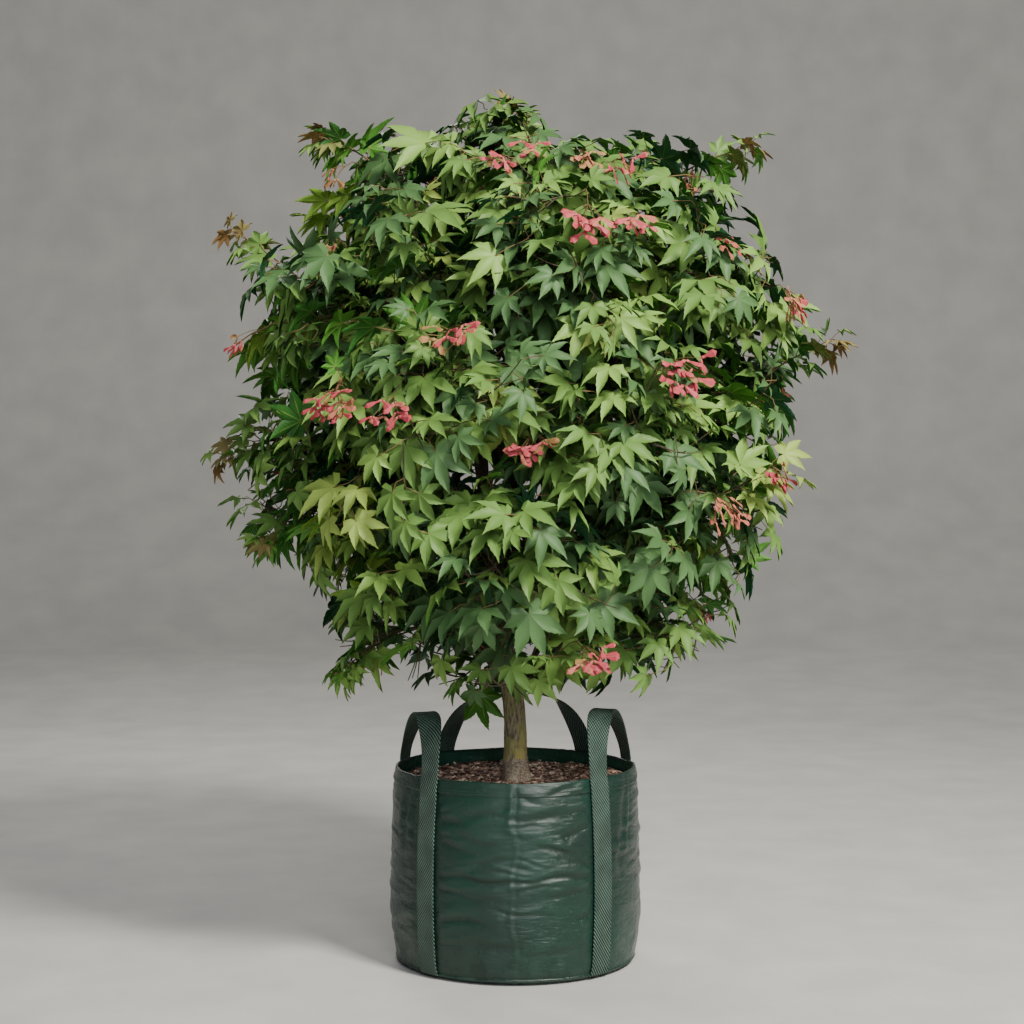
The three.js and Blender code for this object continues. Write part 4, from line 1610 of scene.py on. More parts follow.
@dataclass
class SeedShape:
    """A pair of winged seeds, one unit from the stalk to a wing's tip, that hangs along its midrib.

    The profile of a wing is given by reach along it and by how far it stands out on either side of its rib.
    """

    spread: float = 58.0
    spread_play: tuple[float, float] = (0.8, 1.15)
    nut: float = 0.13
    cup: float = 0.08
    profile: tuple[tuple[float, float, float], ...] = (
        *((0.02, 0.05, -0.05), (0.2, 0.11, -0.07), (0.34, 0.09, -0.07), (0.55, 0.22, -0.14), (0.82, 0.28, -0.16)),
    )

    def wing(self, made: Outline, along: Point, aside: Point, turned: bool) -> None:
        """Adds a wing.

        Args:
            made: The pair so far.
            along: The direction of its rib.
            aside: The direction across it.
            turned: Whether its faces are turned over.
        """
        first = len(made.corners)
        for reach, out, back in self.profile:
            for width in (back, 0.0, out):
                place = along * reach - aside * width
                place[2] = -self.cup * reach * 0.4 if width else self.cup * reach
                made.corner(place, (1.0 if width else 0.0, 0.0))
        tip = along * 1.0 - aside * 0.06
        made.corner((tip[0], tip[1], -self.cup * 0.6), (1.0, 0.0))
        for row in range(len(self.profile) - 1):
            for a in (first + 3 * row, first + 3 * row + 1):
                made.face([a, a + 1, a + 4, a + 3], turned)
        last = first + 3 * (len(self.profile) - 1)
        for a in (last, last + 1):
            made.face([a, a + 1, len(made.corners) - 1], turned)

    def build(self, variant: int) -> bpy.types.Object:
        """One variant of the pair.

        Args:
            variant: Its number, which seeds it.

        Returns:
            The pair.
        """
        random = RandomStream(400 + 7 * variant)
        made = Outline()
        half = self.nut / 2
        for side in (-1, 1):
            along = spoke(math.radians(self.spread * random.between(*self.spread_play)) * side)
            aside = point(along[1], -along[0], 0.0) * side
            self.wing(made, along, aside, side > 0)
            nut = len(made.corners)
            rim = ((0.0, 0, 0), (0.12, 0.09, 0), (0.3, 0, 0), (0.12, -0.09, 0))
            for reach, width, lift in (*rim, (0.14, 0, half), (0.14, 0, -half)):
                place = along * reach + aside * width
                made.corner((place[0], place[1], lift), (0.5, 0.0))
            for a, b in ((0, 1), (1, 2), (2, 3), (3, 0)):
                made.face([nut + a, nut + b, nut + 4], side > 0)
                made.face([nut + b, nut + a, nut + 5], side > 0)
        return made.build(f"seed_shape_{variant}", smooth_faces=False)


# Bunches of winged seeds that face the front: to the right, up, and how many pairs hang in each.
FRONT_BUNCHES = (
    *((-81, 1108, 6), (-296, 988, 12), (-196, 975, 6), (115, 1262, 7), (187, 1276, 4), (26, 1420, 3), (96, 1411, 4)),
    *((187, 1393, 5), (266, 1384, 4), (436, 1160, 10), (266, 1030, 12), (330, 820, 11), (418, 892, 6), (132, 577, 7)),
    *((8, 935, 8), (-295, 1270, 4), (-312, 1411, 4), (-459, 1088, 4), (-45, 1411, 3), (330, 1304, 4)),
)


class SeedLook(Enum):
    """The tints of the seed wings."""

    PINK = LeafFinish("seed_pink", (0.48, 0.066, 0.088), (0.56, 0.18, 0.15), (0.5, 0.13, 0.12), 0.5)
    CORAL = LeafFinish("seed_coral", (0.48, 0.15, 0.1), (0.56, 0.27, 0.15), (0.5, 0.21, 0.14), 0.5)
    TAN = LeafFinish("seed_tan", (0.36, 0.19, 0.075), (0.45, 0.3, 0.12), (0.42, 0.27, 0.12), 0.6)


@dataclass
class Node:
    """A place on a twig where something may grow."""

    at: Point
    side: Point
    mass: Mass | None
    fray: float


@dataclass
class Foliage:
    """Stems, twigs, leaves and seeds, grown mass by mass."""

    plan: CrownPlan
    guards: np.ndarray
    seed: int = 700
    seed_step: int = 13
    fray: tuple[float, float] = (0.72, 1.075)
    fray_bias: float = 0.7
    fray_lumps: tuple[float, float] = (0.1, 120.0)
    stem_pitch: float = 32.0
    stem_play: float = 0.4
    stem_tip: float = 1.9
    stem_steps: int = 16
    stem_leafy: float = 0.86
    stem_span: tuple[float, float] = (0.14, 0.98)
    twig_angle: tuple[float, float] = (30.0, 85.0)
    twig_spread: float = 70.0
    twig_length: tuple[float, float] = (42.0, 142.0)
    twig_radius: tuple[float, float] = (2.3, 1.6)
    side_share: float = 0.62
    shortest: float = 24.0
    node_pitch: float = 33.0
    leaf_size: tuple[float, float] = (40.0, 80.0)
    stalk: tuple[float, float] = (20.0, 50.0)
    tries: int = 9
    apart: tuple[float, float] = (53.0, 40.0)
    inner_depth: float = 0.5
    inner_share: float = 0.4
    slack: tuple[float, float] = (90.0, 24.0)
    shoot_slack: float = 60.0
    shoot_radius: tuple[float, float] = (2.2, 0.8)
    shoot_nodes: tuple[float, ...] = (0.34, 0.5, 0.63, 0.75, 0.85, 0.93, 1.0)
    shoot_leaf: tuple[float, float] = (70.0, 32.0)
    gap_low: Point = field(default_factory=lambda: point(-64, -400, 470))
    gap_high: Point = field(default_factory=lambda: point(-2, -12, 742))
    gap_share: float = 0.8
    bag_clear: tuple[float, float] = (372.0, 232.0)
    guard_gap: float = 26.0
    guard_top: float = 500.0
    leaf_stalk: tuple[float, ...] = (1.15, 0.85, 1.0)
    bunch_stalk: tuple[float, ...] = (1.1, 1.0, 1.0)
    seed_stalk: tuple[float, ...] = (0.75, 0.6, 0.6)
    seed_size: tuple[float, float] = (23.0, 31.0)
    bunch_hang: tuple[float, float] = (34.0, -30.0)
    bunch_spread: tuple[float, float] = (9.0, 1.8)
    bunch_pull: float = 46.0
    bunch_apart: float = 170.0
    bunch_tries: int = 400
    fill_tries: int = 3000
    fill_levels: tuple[float, float] = (470.0, 1430.0)
    fill_depth: tuple[float, float] = (0.68, 0.93)
    fill_fray: float = 0.97
    fill_length: tuple[float, float] = (26.0, 190.0)
    fill_radius: tuple[float, float] = (1.4, 0.8)
    bare: float = 72.0

    def __post_init__(self) -> None:
        """Starts with nothing grown."""
        self.twigs, self.stalks, self.shoots = Lines(), Lines(), Lines()
        self.leaves: dict[Tint, Places] = {tint: Places() for tint in Tint}
        self.seeds: dict[SeedLook, Places] = {look: Places() for look in SeedLook}
        self.hubs = np.zeros((0, 3))
        self.nodes: list[Node] = []
        limbs = [self.plan.trunk_limb, *self.plan.leaders, *self.plan.boughs]
        shares = [i / 40 for i in range(41)]
        self.limb_places = np.array([limb.curve.at(share) for limb in limbs for share in shares])
        self.limb_radii = np.array([limb.radius_at(share) for limb in limbs for share in shares])

    def leaf_frame(self, hub: Point, lean: Point, random: RandomStream) -> tuple[Point, Point]:
        """A leaf's midrib and face: it hangs out and down, with its face to the light.

        Args:
            hub: About where its blade starts.
            lean: The direction that its stalk leans in.
            random: The stream of numbers.

        Returns:
            The directions of the midrib and of the face.
        """
        outward = level_out(hub)
        a, b, c = (random() - 0.5 for _ in range(3))
        midrib = unit(outward * 0.5 + lean * 0.7 + point(a * 1.6, b * 1.6, c * 1.3 - 0.62))
        face = outward * 0.7 + point((random() - 0.5) * 1.4, (random() - 0.5) * 1.4, 0.7)
        return midrib, square_to(midrib, face)

    def fits(self, node: Node, places: Sequence[Point], shoot: bool) -> bool:
        """Whether a leaf keeps to its mass's space, or to the crown, and clear of the bag and its handles.

        Args:
            node: Where it grows.
            places: Its hub and tips.
            shoot: Whether it may stand out of the crown.

        Returns:
            Whether all its places are free.
        """
        top, reach = self.bag_clear
        for place in places:
            slack = mix(*self.slack, smooth(0.6, 0.95, self.plan.depth(place)))
            if shoot:
                if not self.plan.own_ground(node.mass, place, slack + self.shoot_slack):
                    return False
            elif not self.plan.inside(place, node.fray):
                return False
            elif node.mass is not None and not self.plan.room(node.mass, place, slack):
                return False
            if place[2] < top and math.hypot(place[0], place[1]) < reach:
                return False
            if place[2] < self.guard_top and np.min(np.linalg.norm(self.guards - place, axis=1)) < self.guard_gap:
                return False
        return True

    def off_limbs(self, place: Point, gap: float) -> bool:
        """Whether a place is clear of all limbs."""
        return bool(np.all(np.linalg.norm(self.limb_places - place, axis=1) > self.limb_radii + gap))

    def in_gap(self, place: Point) -> bool:
        """Whether a place is in the window before the trunk that is kept thin."""
        return bool(np.all((place > self.gap_low) & (place < self.gap_high)))

    def add_leaf(
        self, node: Node, lean: Point, size: float, tint: Tint, random: RandomStream, shoot: bool = False
    ) -> None:
        """Grows a leaf from a node, the one of a few tries that is furthest from the others, if it has room.

        Args:
            node: Where its stalk starts.
            lean: The direction that the stalk leans in.
            size: The leaf's length from its hub.
            tint: Its tint.
            random: The stream of numbers.
            shoot: Whether it may stand out of the crown.
        """
        best = None
        if self.plan.depth(node.at) < self.inner_depth and random() > self.inner_share:
            return
        for _ in range(self.tries):
            midrib, face = self.leaf_frame(node.at, lean, random)
            reach = random.between(*self.stalk) * (0.5 if shoot else 1.0)
            heading = unit(lean + midrib)
            hub = node.at + heading * reach
            side = np.cross(midrib, face) * size * 0.7
            sag = face * size * 0.2
            flanks = [hub + midrib * size * 0.5 + side - sag, hub + midrib * size * 0.5 - side - sag]
            if not self.fits(node, [hub, hub + midrib * size - sag, *flanks], shoot):
                continue
            middle = hub + midrib * size * 0.4
            gap = float(np.min(np.linalg.norm(self.hubs - middle, axis=1))) if len(self.hubs) else 999.0
            if (best is None or gap > best[0]) and self.off_limbs(middle, 5.0):
                best = (gap, hub, midrib, face, heading, middle, reach)
        apart = 8.0 if shoot else mix(*self.apart, smooth(520, 820, node.at[2]))
        if best is None or best[0] < apart:
            return
        _, hub, midrib, face, heading, middle, reach = best
        if random() < self.gap_share and self.in_gap(middle):
            return
        self.hubs = np.vstack([self.hubs, middle])
        self.leaves[tint].add(hub, midrib, face, size, int(random() * 5.999))
        bend = node.at + unit(node.side * 0.6 + heading) * reach * 0.5 + point(0, 0, reach * 0.06)
        self.stalks.add([node.at, bend, hub + midrib * size * 0.03], self.leaf_stalk)

    def tint_at(self, place: Point, random: RandomStream) -> Tint:
        """A spray's tint: darker deep inside the crown as painted shade, and brighter near its surface and its top as
        painted light, dealt at random within that.

        Args:
            place: Where the spray is.
            random: The stream of numbers.

        Returns:
            The tint.
        """
        # Deeper in the crown and lower down, darker tints are dealt as painted shade; higher up, brighter ones as
        # painted light.
        depth = self.plan.depth(place) + 0.12 * (place[2] - self.plan.widest) / 480
        roll = random()
        if depth < 0.55:
            return Tint.DEEP if roll < 0.65 else Tint.MID
        for share, tint in ((0.31, Tint.DEEP), (0.75, Tint.MID), (0.958, Tint.LIGHT), (0.99, Tint.LIME)):
            if roll < share:
                return tint
        return Tint.LIGHT

    def near_tint(self, tint: Tint, random: RandomStream) -> Tint:
        """The spray's tint, or now and then a neighbouring one.

        Args:
            tint: The spray's tint.
            random: The stream of numbers.

        Returns:
            The leaf's tint.
        """
        roll = random()
        if roll < 0.1:
            return {Tint.DEEP: Tint.MID, Tint.MID: Tint.LIGHT, Tint.LIGHT: Tint.LIME}.get(tint, tint)
        if roll < 0.22:
            return {Tint.MID: Tint.DEEP, Tint.LIGHT: Tint.MID, Tint.LIME: Tint.LIGHT}.get(tint, tint)
        return tint

    def twig_course(
        self, mass: Mass, start: Point, heading: Point, roll: float, fray: float, random: RandomStream
    ) -> tuple[Point, float]:
        """Finds a twig that stays in its mass's space, by the best of a few tries.

        Args:
            mass: The mass it belongs to.
            start: Its foot.
            heading: The direction of what it grows from.
            roll: The angle round that, in radians.
            fray: How far the crown reaches there, as a share.
            random: The stream of numbers.

        Returns:
            Its direction and its length.
        """
        side, up = cross_directions(heading)
        best = (unit(heading + side), 0.0)
        for _ in range(5):
            turn = roll + math.radians((random() - 0.5) * self.twig_spread)
            angle = math.radians(random.between(*self.twig_angle))
            course = heading * math.cos(angle)
            course = course + side * math.sin(angle) * math.cos(turn) + up * math.sin(angle) * math.sin(turn)
            length = random.between(*self.twig_length)
            while length > self.twig_length[0]:
                end = start + course * (length + 30)
                if self.plan.inside(end, fray) and self.plan.room(mass, end, 20.0) and self.off_limbs(end, 4.0):
                    break
                length -= 14
            if length > best[1]:
                best = (course, length)
        return best

    def grow_twig(
        self,
        mass: Mass,
        start: Point,
        heading: Point,
        roll: float,
        radius: float,
        random: RandomStream,
        order: int = 1,
    ) -> None:
        """Grows a twig with pairs of leaves along it, side twigs near its middle and leaves at its end.

        Args:
            mass: The mass it belongs to.
            start: Its foot.
            heading: The direction of what it grows from.
            roll: The angle round that, in radians.
            radius: Its radius at its foot.
            random: The stream of numbers.
            order: 1 for a twig and 2 for a side twig.
        """
        height, size = self.fray_lumps
        fray = mix(*self.fray, random() ** self.fray_bias) + height * float(relief(start[None], size, 61)[0])
        course, length = self.twig_course(mass, start, heading, roll, fray, random)
        if order > 1:
            length *= self.side_share
        if length < self.shortest:
            return
        flank, _ = cross_directions(course)
        lift = point(0, 0, 0.1 * length)
        sway = flank * (random() - 0.5) * 0.16 * length
        middle = start + course * length * 0.5 + sway - lift * 0.3
        curve = SmoothCurve([start, middle, start + course * length + lift])
        self.twigs.taper(curve, max(2, int(length / 16)), radius, max(0.8, radius * 0.5))
        tint = self.tint_at(curve.at(1), random)
        pairs = max(1, round(length / self.node_pitch))
        for pair in range(pairs + 1):
            last = pair == pairs
            share = 1.0 if last else (pair + 0.55) / (pairs + 0.3)
            at, along = curve.at(share), curve.heading(share)
            side, over = cross_directions(along)
            lean = side if (pair + order) % 2 else unit(side * 0.45 + over)
            node = Node(at, side, mass, fray)
            self.nodes.append(node)
            if order == 1 and pairs > 2 and pair == pairs // 2:
                for half in (0.0, math.pi):
                    self.grow_twig(mass, at, along, half + random() * 0.8, radius * 0.7, random, 2)
            for half in (1, -1):
                size = random.between(*self.leaf_size) * (0.86 if last else 1.0)
                toward = unit(lean * half + along * (0.9 if last else 0.3))
                self.add_leaf(node, toward, size, self.near_tint(tint, random), random)
        self.add_leaf(Node(curve.at(1), flank, mass, fray), course, random.between(*self.leaf_size), tint, random)

    def grow_shoot(self, mass: Mass, start: Point, tip: Point, random: RandomStream) -> None:
        """Grows a long bare shoot out of the crown, with small young leaves towards its tip.

        Args:
            mass: The mass it belongs to.
            start: Its foot.
            tip: The tip of its last leaf.
            random: The stream of numbers.
        """
        heading = unit(tip - start)
        end = tip - heading * (62 if tip[2] > 1500 else 14)
        sway = cross_directions(heading)[0] * (random() - 0.5) * 18
        curve = SmoothCurve([start, (start + end) / 2 + point(0, 0, 9) + sway, end])
        self.shoots.taper(curve, 12, *self.shoot_radius)
        for number, share in enumerate(self.shoot_nodes):
            at, along = curve.at(share), curve.heading(share)
            side, over = cross_directions(along)
            lean = side if number % 2 else over
            size = mix(*self.shoot_leaf, share**1.5)
            tint = Tint.YOUNG if share > 0.8 else (Tint.BRONZE if share > 0.7 else Tint.MID)
            node = Node(at, side, mass, 1.2)
            for half in (1, -1):
                own = tint if random() < 0.55 else Tint.LIGHT
                toward = unit(lean * half + along * 0.7)
                self.add_leaf(node, toward, size * random.between(0.8, 1.15), own, random, shoot=True)

    def grow_mass(self, number: int, mass: Mass) -> None:
        """Grows a mass from its stem, seeded by its number.

        Args:
            number: The mass's number.
            mass: The mass.
        """
        random = RandomStream(self.seed + self.seed_step * number)
        curve = SmoothCurve(self.plan.stem(mass))
        self.twigs.taper(curve, self.stem_steps, self.plan.bough_tip + self.stem_play, self.stem_tip)
        for shoot in mass.shoots:
            self.grow_shoot(mass, curve.at(0.75), shoot, random)
        pairs = int(curve.length() * self.stem_leafy / self.stem_pitch)
        for pair in range(pairs):
            share = mix(*self.stem_span, (pair + 0.5) / pairs)
            at, along = curve.at(share), curve.heading(share)
            roll = math.radians(90 * pair + 45)
            for half in (0.0, math.pi):
                self.grow_twig(mass, at, along, roll + half, mix(*self.twig_radius, share), random)
        self.grow_twig(mass, curve.at(1), curve.heading(1), random() * TAU, 1.7, random)

    def hang_bunch(self, node: Node, pairs: int, target: Point | None, random: RandomStream) -> None:
        """Hangs a bunch of winged seeds from a node.

        Args:
            node: Where its stalk starts.
            pairs: How many pairs of seeds it has.
            target: Where its middle should be, if that is given.
            random: The stream of numbers.
        """
        outward = level_out(node.at)
        out, drop = self.bunch_hang
        middle = node.at + outward * out + point(0, 0, drop)
        if target is not None:
            pull = target - middle
            middle = middle + pull * min(1.0, self.bunch_pull / max(1.0, float(np.linalg.norm(pull))))
        if not self.off_limbs(middle, 12.0):
            return
        crown = node.at + (middle - node.at) * 0.55 + point(0, 0, 4)
        self.stalks.add([node.at, (node.at + crown) / 2 + point(0, 0, 5), crown], self.bunch_stalk)
        pairs += pairs // 3
        spread = self.bunch_spread[0] + self.bunch_spread[1] * pairs
        pink_share = 0.9 if target is not None and pairs > 5 else 0.5
        main = SeedLook.PINK if random() < pink_share else (SeedLook.CORAL if random() < 0.75 else SeedLook.TAN)
        for _ in range(pairs):
            aside = cross_directions(outward)[0] * (random() - 0.5) * 2.1 * spread
            forward = outward * (random() - 0.1) * 20
            at = middle + aside + forward + point(0, 0, (random() - 0.6) * 1.3 * spread)
            hang = unit(at - crown + point(0, 0, -26))
            face = unit(outward * 0.9 + point(random() - 0.5, random() - 0.5, (random() - 0.3) * 1.2))
            look = main if random() < 0.66 else (SeedLook.CORAL if random() < 0.5 else SeedLook.TAN)
            size = random.between(*self.seed_size)
            self.seeds[look].add(at, hang, square_to(hang, face), size, int(random() * 2.999))
            self.stalks.add([crown, (crown + at) / 2 + point(0, 0, 3), at], self.seed_stalk)

    def hang_seeds(self) -> None:
        """Hangs the front bunches by their places and others round the rest of the crown."""
        random = RandomStream(515)
        places = np.array([node.at for node in self.nodes])
        taken: list[Point] = []
        for x, z, pairs in FRONT_BUNCHES:
            depth = self.plan.reach(z, -math.pi / 2) * math.sqrt(max(0.05, 1 - (x / self.plan.half_width) ** 2))
            target = point(x, -0.98 * depth, z)
            away = np.abs(places - (target + point(0, 0, 24)))
            node = self.nodes[int(np.argmin(away[:, 0] + away[:, 2] + 0.5 * away[:, 1]))]
            self.hang_bunch(node, pairs, target, random)
            taken.append(node.at)
        for _ in range(self.bunch_tries):
            node = self.nodes[int(random() * (len(self.nodes) - 1))]
            if node.at[1] < -60 or self.plan.depth(node.at) < 0.74 or node.at[2] < 560:
                continue
            if min(float(np.linalg.norm(node.at - other)) for other in taken) < self.bunch_apart:
                continue
            self.hang_bunch(node, 4 + int(random() * 7), None, random)
            taken.append(node.at)

    def fill_bare(self) -> int:
        """Grows a short twig into each bare place of the crown's outer layer, from the nearest node.

        Returns:
            How many twigs it grew.
        """
        random = RandomStream(1201)
        nodes = np.array([node.at for node in self.nodes])
        shortest, longest = self.fill_length
        grown = 0
        for _ in range(self.fill_tries):
            level, bearing = random.between(*self.fill_levels), TAU * random()
            reach = self.plan.reach(level, bearing) * random.between(*self.fill_depth)
            place = point(self.plan.axis + reach * math.cos(bearing), reach * math.sin(bearing), level)
            if not self.plan.inside(place, self.fill_fray) or self.in_gap(place):
                continue
            if float(np.min(np.linalg.norm(self.hubs - place, axis=1))) < self.bare:
                continue
            start = nodes[int(np.argmin(np.linalg.norm(nodes - place, axis=1)))]
            length = float(np.linalg.norm(place - start))
            if not shortest < length < longest:
                continue
            course = unit(place - start)
            curve = SmoothCurve([start, (start + place) / 2 - point(0, 0, 0.06 * length), place])
            self.twigs.taper(curve, 6, *self.fill_radius)
            flank, up = cross_directions(course)
            tint = self.tint_at(place, random)
            for share, lean in ((0.45, flank), (0.75, up), (1.0, flank)):
                node = Node(curve.at(share), flank, None, 1.0)
                for half in (1, -1):
                    size = random.between(*self.leaf_size)
                    self.add_leaf(node, unit(lean * half + course * 0.5), size, self.near_tint(tint, random), random)
            grown += 1
        return grown

    def grow(self) -> None:
        """Grows every mass, hangs the seeds and fills what is bare."""
        for number, mass in enumerate(self.plan.masses):
            self.grow_mass(number, mass)
        self.hang_seeds()
        log.info("%d twigs fill bare places", self.fill_bare())


# The bag and its handles


@dataclass(frozen=True)
class Fold:
    """A crease in the bag's wall with a soft lip beside it."""

    bearing: float
    level: float
    length: float
    turn: float
    width: float
    depth: float

    def height(self, round_mm: np.ndarray, level: np.ndarray, reach: float) -> np.ndarray:
        """How far it moves the wall.

        Args:
            round_mm: Each place's distance round the wall from the front.
            level: Each place's level.
            reach: The wall's radius.

        Returns:
            The height over the plain wall for each place.
        """
        around = TAU * reach
        u = round_mm - math.radians(self.bearing) * reach
        u = (u + around / 2) % around - around / 2
        v = level - self.level
        c, s = math.cos(math.radians(self.turn)), math.sin(math.radians(self.turn))
        along, across = u * c + v * s, v * c - u * s
        across = across + 4.0 * np.sin(along / 34.0 + self.level) + 2.0 * np.sin(along / 13.0 + self.bearing)
        fade = np.exp(-np.abs(along / (self.length / 2)) ** 3)
        groove = -abs(self.depth) * np.exp(-((across / self.width) ** 2))
        lip = abs(self.depth) * 0.85 * np.exp(-(((across - self.width * 2.1) / (self.width * 2.0)) ** 2))
        return (groove + lip) * fade


# The creases that face the front, as they are seen there: bearing, level, length, turn, width and depth.
FRONT_FOLDS = (
    *((-1, 178, 300, 0.0, 4.5, 3.4), (-34, 270, 66, 8, 7.0, 3.0), (-30, 232, 54, -7, 6.0, 2.2)),
    *((-18, 246, 76, -6, 6.5, 2.6), (-12, 292, 70, 10, 7.0, 2.4), (9, 284, 84, 5, 9.0, 3.2)),
    *((6, 316, 60, -14, 6.0, 2.0), (22, 326, 64, 14, 5.5, 2.8), (30, 312, 46, -20, 5.0, 2.6)),
    *((29, 255, 58, 10, 6.5, 2.6), (18, 226, 70, -7, 6.0, 2.2), (7, 197, 66, -9, 5.5, 2.2)),
    *((-24, 196, 60, 7, 5.0, 1.8), (22, 150, 60, 8, 5.5, 1.8), (-16, 144, 80, -5, 6.0, 1.6)),
    *((-27, 106, 100, 14, 7.0, 2.6), (33, 111, 56, 8, 6.0, 2.4), (60, 276, 120, 82, 8.0, 2.6)),
    *((-60, 262, 90, 86, 7.0, 2.2), (0.6, 300, 96, 90, 3.6, 2.6), (0.3, 130, 270, 90, 2.6, 1.3)),
    *((-12, 66, 84, -5, 8.0, 1.8), (18, 58, 76, 6, 7.0, 1.6)),
)


@dataclass
class NurseryBag:
    """The bag: a thin wall of woven plastic that bulges between a sewn foot and a hemmed rim."""

    height: float = 342.0
    foot_radius: float = 212.0
    rim_radius: float = 208.0
    swollen_radius: float = 218.0
    slack_radius: float = 210.0
    bulge: float = 11.0
    corner: float = 12.0
    wall: float = 3.0
    hem_wall: float = 3.6
    hem_height: float = 24.0
    hem_stand_out: float = 1.4
    hem_wave: float = 1.6
    pinch: float = 3.0
    columns: int = 420
    soil_level: float = 312.0
    soil_rise: float = 5.0
    side_folds: int = 34
    small_folds: int = 96
    pleats: tuple[tuple[float, float], ...] = ((76, 80), (180, 170), (250, 120))
    sagging: tuple[Layer, ...] = ((1.0, 95.0, 31, 1.6), (1.0, 48.0, 37, 0.9))
    ripple: Layer = (1.5, 27.0, 41, 0.4)
    belly: float = 1.6
    under_strap: tuple[float, float] = (20.0, 40.0)
    strap_pull: float = 1.0
    foot_rings: int = 12
    wall_rings: int = 112
    knee: float = -1.8
    deepest: float = -3.1
    # How widely and how far the wall's standing out is measured for its painted highlights and painted shade.
    wear_span: int = 11
    wear_height: float = 2.2

    def __post_init__(self) -> None:
        """Deals out the creases round the sides and the back, small ones all over, and long level pleats."""
        random = RandomStream(2024)
        self.folds = [Fold(*sizes) for sizes in FRONT_FOLDS]
        for _ in range(self.side_folds):
            bearing = 50 + 260 * random()
            turn = random.between(-14, 14) if random() < 0.78 else 90 + random.between(-12, 12)
            level, length = random.between(40, 322), random.between(45, 130)
            self.folds.append(Fold(bearing, level, length, turn, random.between(4, 7.5), random.between(1.1, 2.3)))
        for _ in range(self.small_folds):
            bearing, level = 360 * random(), 30 + 292 * random() ** 0.85
            turn, length = random.between(-13, 13), random.between(34, 110)
            self.folds.append(Fold(bearing, level, length, turn, random.between(2.6, 4.4), random.between(0.9, 1.9)))
        for bearing, length in self.pleats:
            level = 178 + random.between(-6, 6)
            self.folds.append(Fold(bearing, level, length, random.between(-2, 2), 4.0, 2.0))

    def radius(self, level: float) -> float:
        """The wall's plain outer radius at a level.

        Args:
            level: The level.

        Returns:
            The radius.
        """
        t = max(0.0, (level - self.corner) / (self.height - self.corner))
        swollen = mix(self.foot_radius, self.rim_radius, t) + self.bulge * math.sin(math.pi * min(1.0, t)) ** 0.6
        if level >= self.corner:
            return swollen
        rest = 1 - max(0.0, level) / self.corner
        return swollen - self.corner * (1 - math.sqrt(1 - rest * rest))

    def drawn_out(self, sideward: float | np.ndarray, level: float) -> float | np.ndarray:
        """How many times wider the wall is where the side handles draw it out, near the rim."""
        return 1 + self.pinch / self.rim_radius * sideward**8 * smooth(self.height * 0.55, self.height, level)

    def wave(self, outward: np.ndarray, level: float) -> np.ndarray:
        """How far the rim's waves lift the wall in some directions, one a row, at a level."""
        return relief(outward * self.rim_radius, 70.0, 51) * self.hem_wave * smooth(250, self.height, level)

    def on_wall(self, bearing: float, level: float, stand_off: float) -> Point:
        """A place off the plain wall.

        Args:
            bearing: Its bearing from the front to the right.
            level: Its level.
            stand_off: How far it is off the wall.

        Returns:
            The place.
        """
        angle = math.radians(bearing)
        outward = point(math.sin(angle), -math.cos(angle), 0)
        reach = self.radius(level) + (self.hem_stand_out if level > self.height - self.hem_height else 0)
        place = outward * (reach * self.drawn_out(outward[0], level) + stand_off)
        place[2] = level
        return place

    def slack(self, bearings: np.ndarray, level: float) -> np.ndarray:
        """How far creases and sagging move the wall at a level, next to nothing under the straps.

        Args:
            bearings: The bearings to measure it at.
            level: The level.

        Returns:
            The height over the plain wall at each bearing.
        """
        angle = np.radians(bearings)
        across, forward = np.sin(angle) * self.slack_radius, -np.cos(angle) * self.slack_radius
        places = np.stack([across, forward, np.full(len(angle), level * 2.2)], axis=1)
        total = layered(places, self.sagging) + layered(places, [self.ripple]) * mix(0.8, 1.2, smooth(60, 300, level))
        round_mm = angle * self.swollen_radius
        for fold in self.folds:
            total += fold.height(round_mm, np.full(len(angle), level), self.swollen_radius)
        held = self.knee + (self.deepest - self.knee) * np.tanh((total - self.knee) / (self.deepest - self.knee))
        total = np.where(total < self.knee, held, total)
        total += self.belly * smooth(20, 80, level) * (1 - smooth(90, 190, level))
        near = np.full(len(angle), 999.0)
        for leg in (end for handle in HANDLES for end in (handle.start, handle.end)):
            near = np.minimum(near, np.abs((bearings - leg + 180) % 360 - 180) * math.radians(self.swollen_radius))
        pulled = -self.strap_pull * np.exp(-(((near - self.under_strap[0]) / 16) ** 2))
        ends = smooth(2, 26, level) * mix(1.0, 0.45, smooth(318, self.height, level))
        return (total * smooth_many(*self.under_strap, near) + pulled) * ends

    def ring(self, level: float, inset: float, lift: float = 0.0, soft: float = 1.0) -> np.ndarray:
        """A ring of the wall.

        Args:
            level: Its level on the plain wall.
            inset: How far it stands in from the outer surface.
            lift: How much higher it is than that level.
            soft: How much of the creasing it takes.

        Returns:
            The ring's places.
        """
        bearings = np.arange(self.columns) * 360 / self.columns
        angle = np.radians(bearings)
        outward = np.stack([np.sin(angle), -np.cos(angle), angle * 0], axis=1)
        reach = self.radius(level) * self.drawn_out(outward[:, 0], level) - inset + self.slack(bearings, level) * soft
        places = outward * reach[:, None]
        places[:, 2] = level + lift + self.wave(outward, level)
        return places

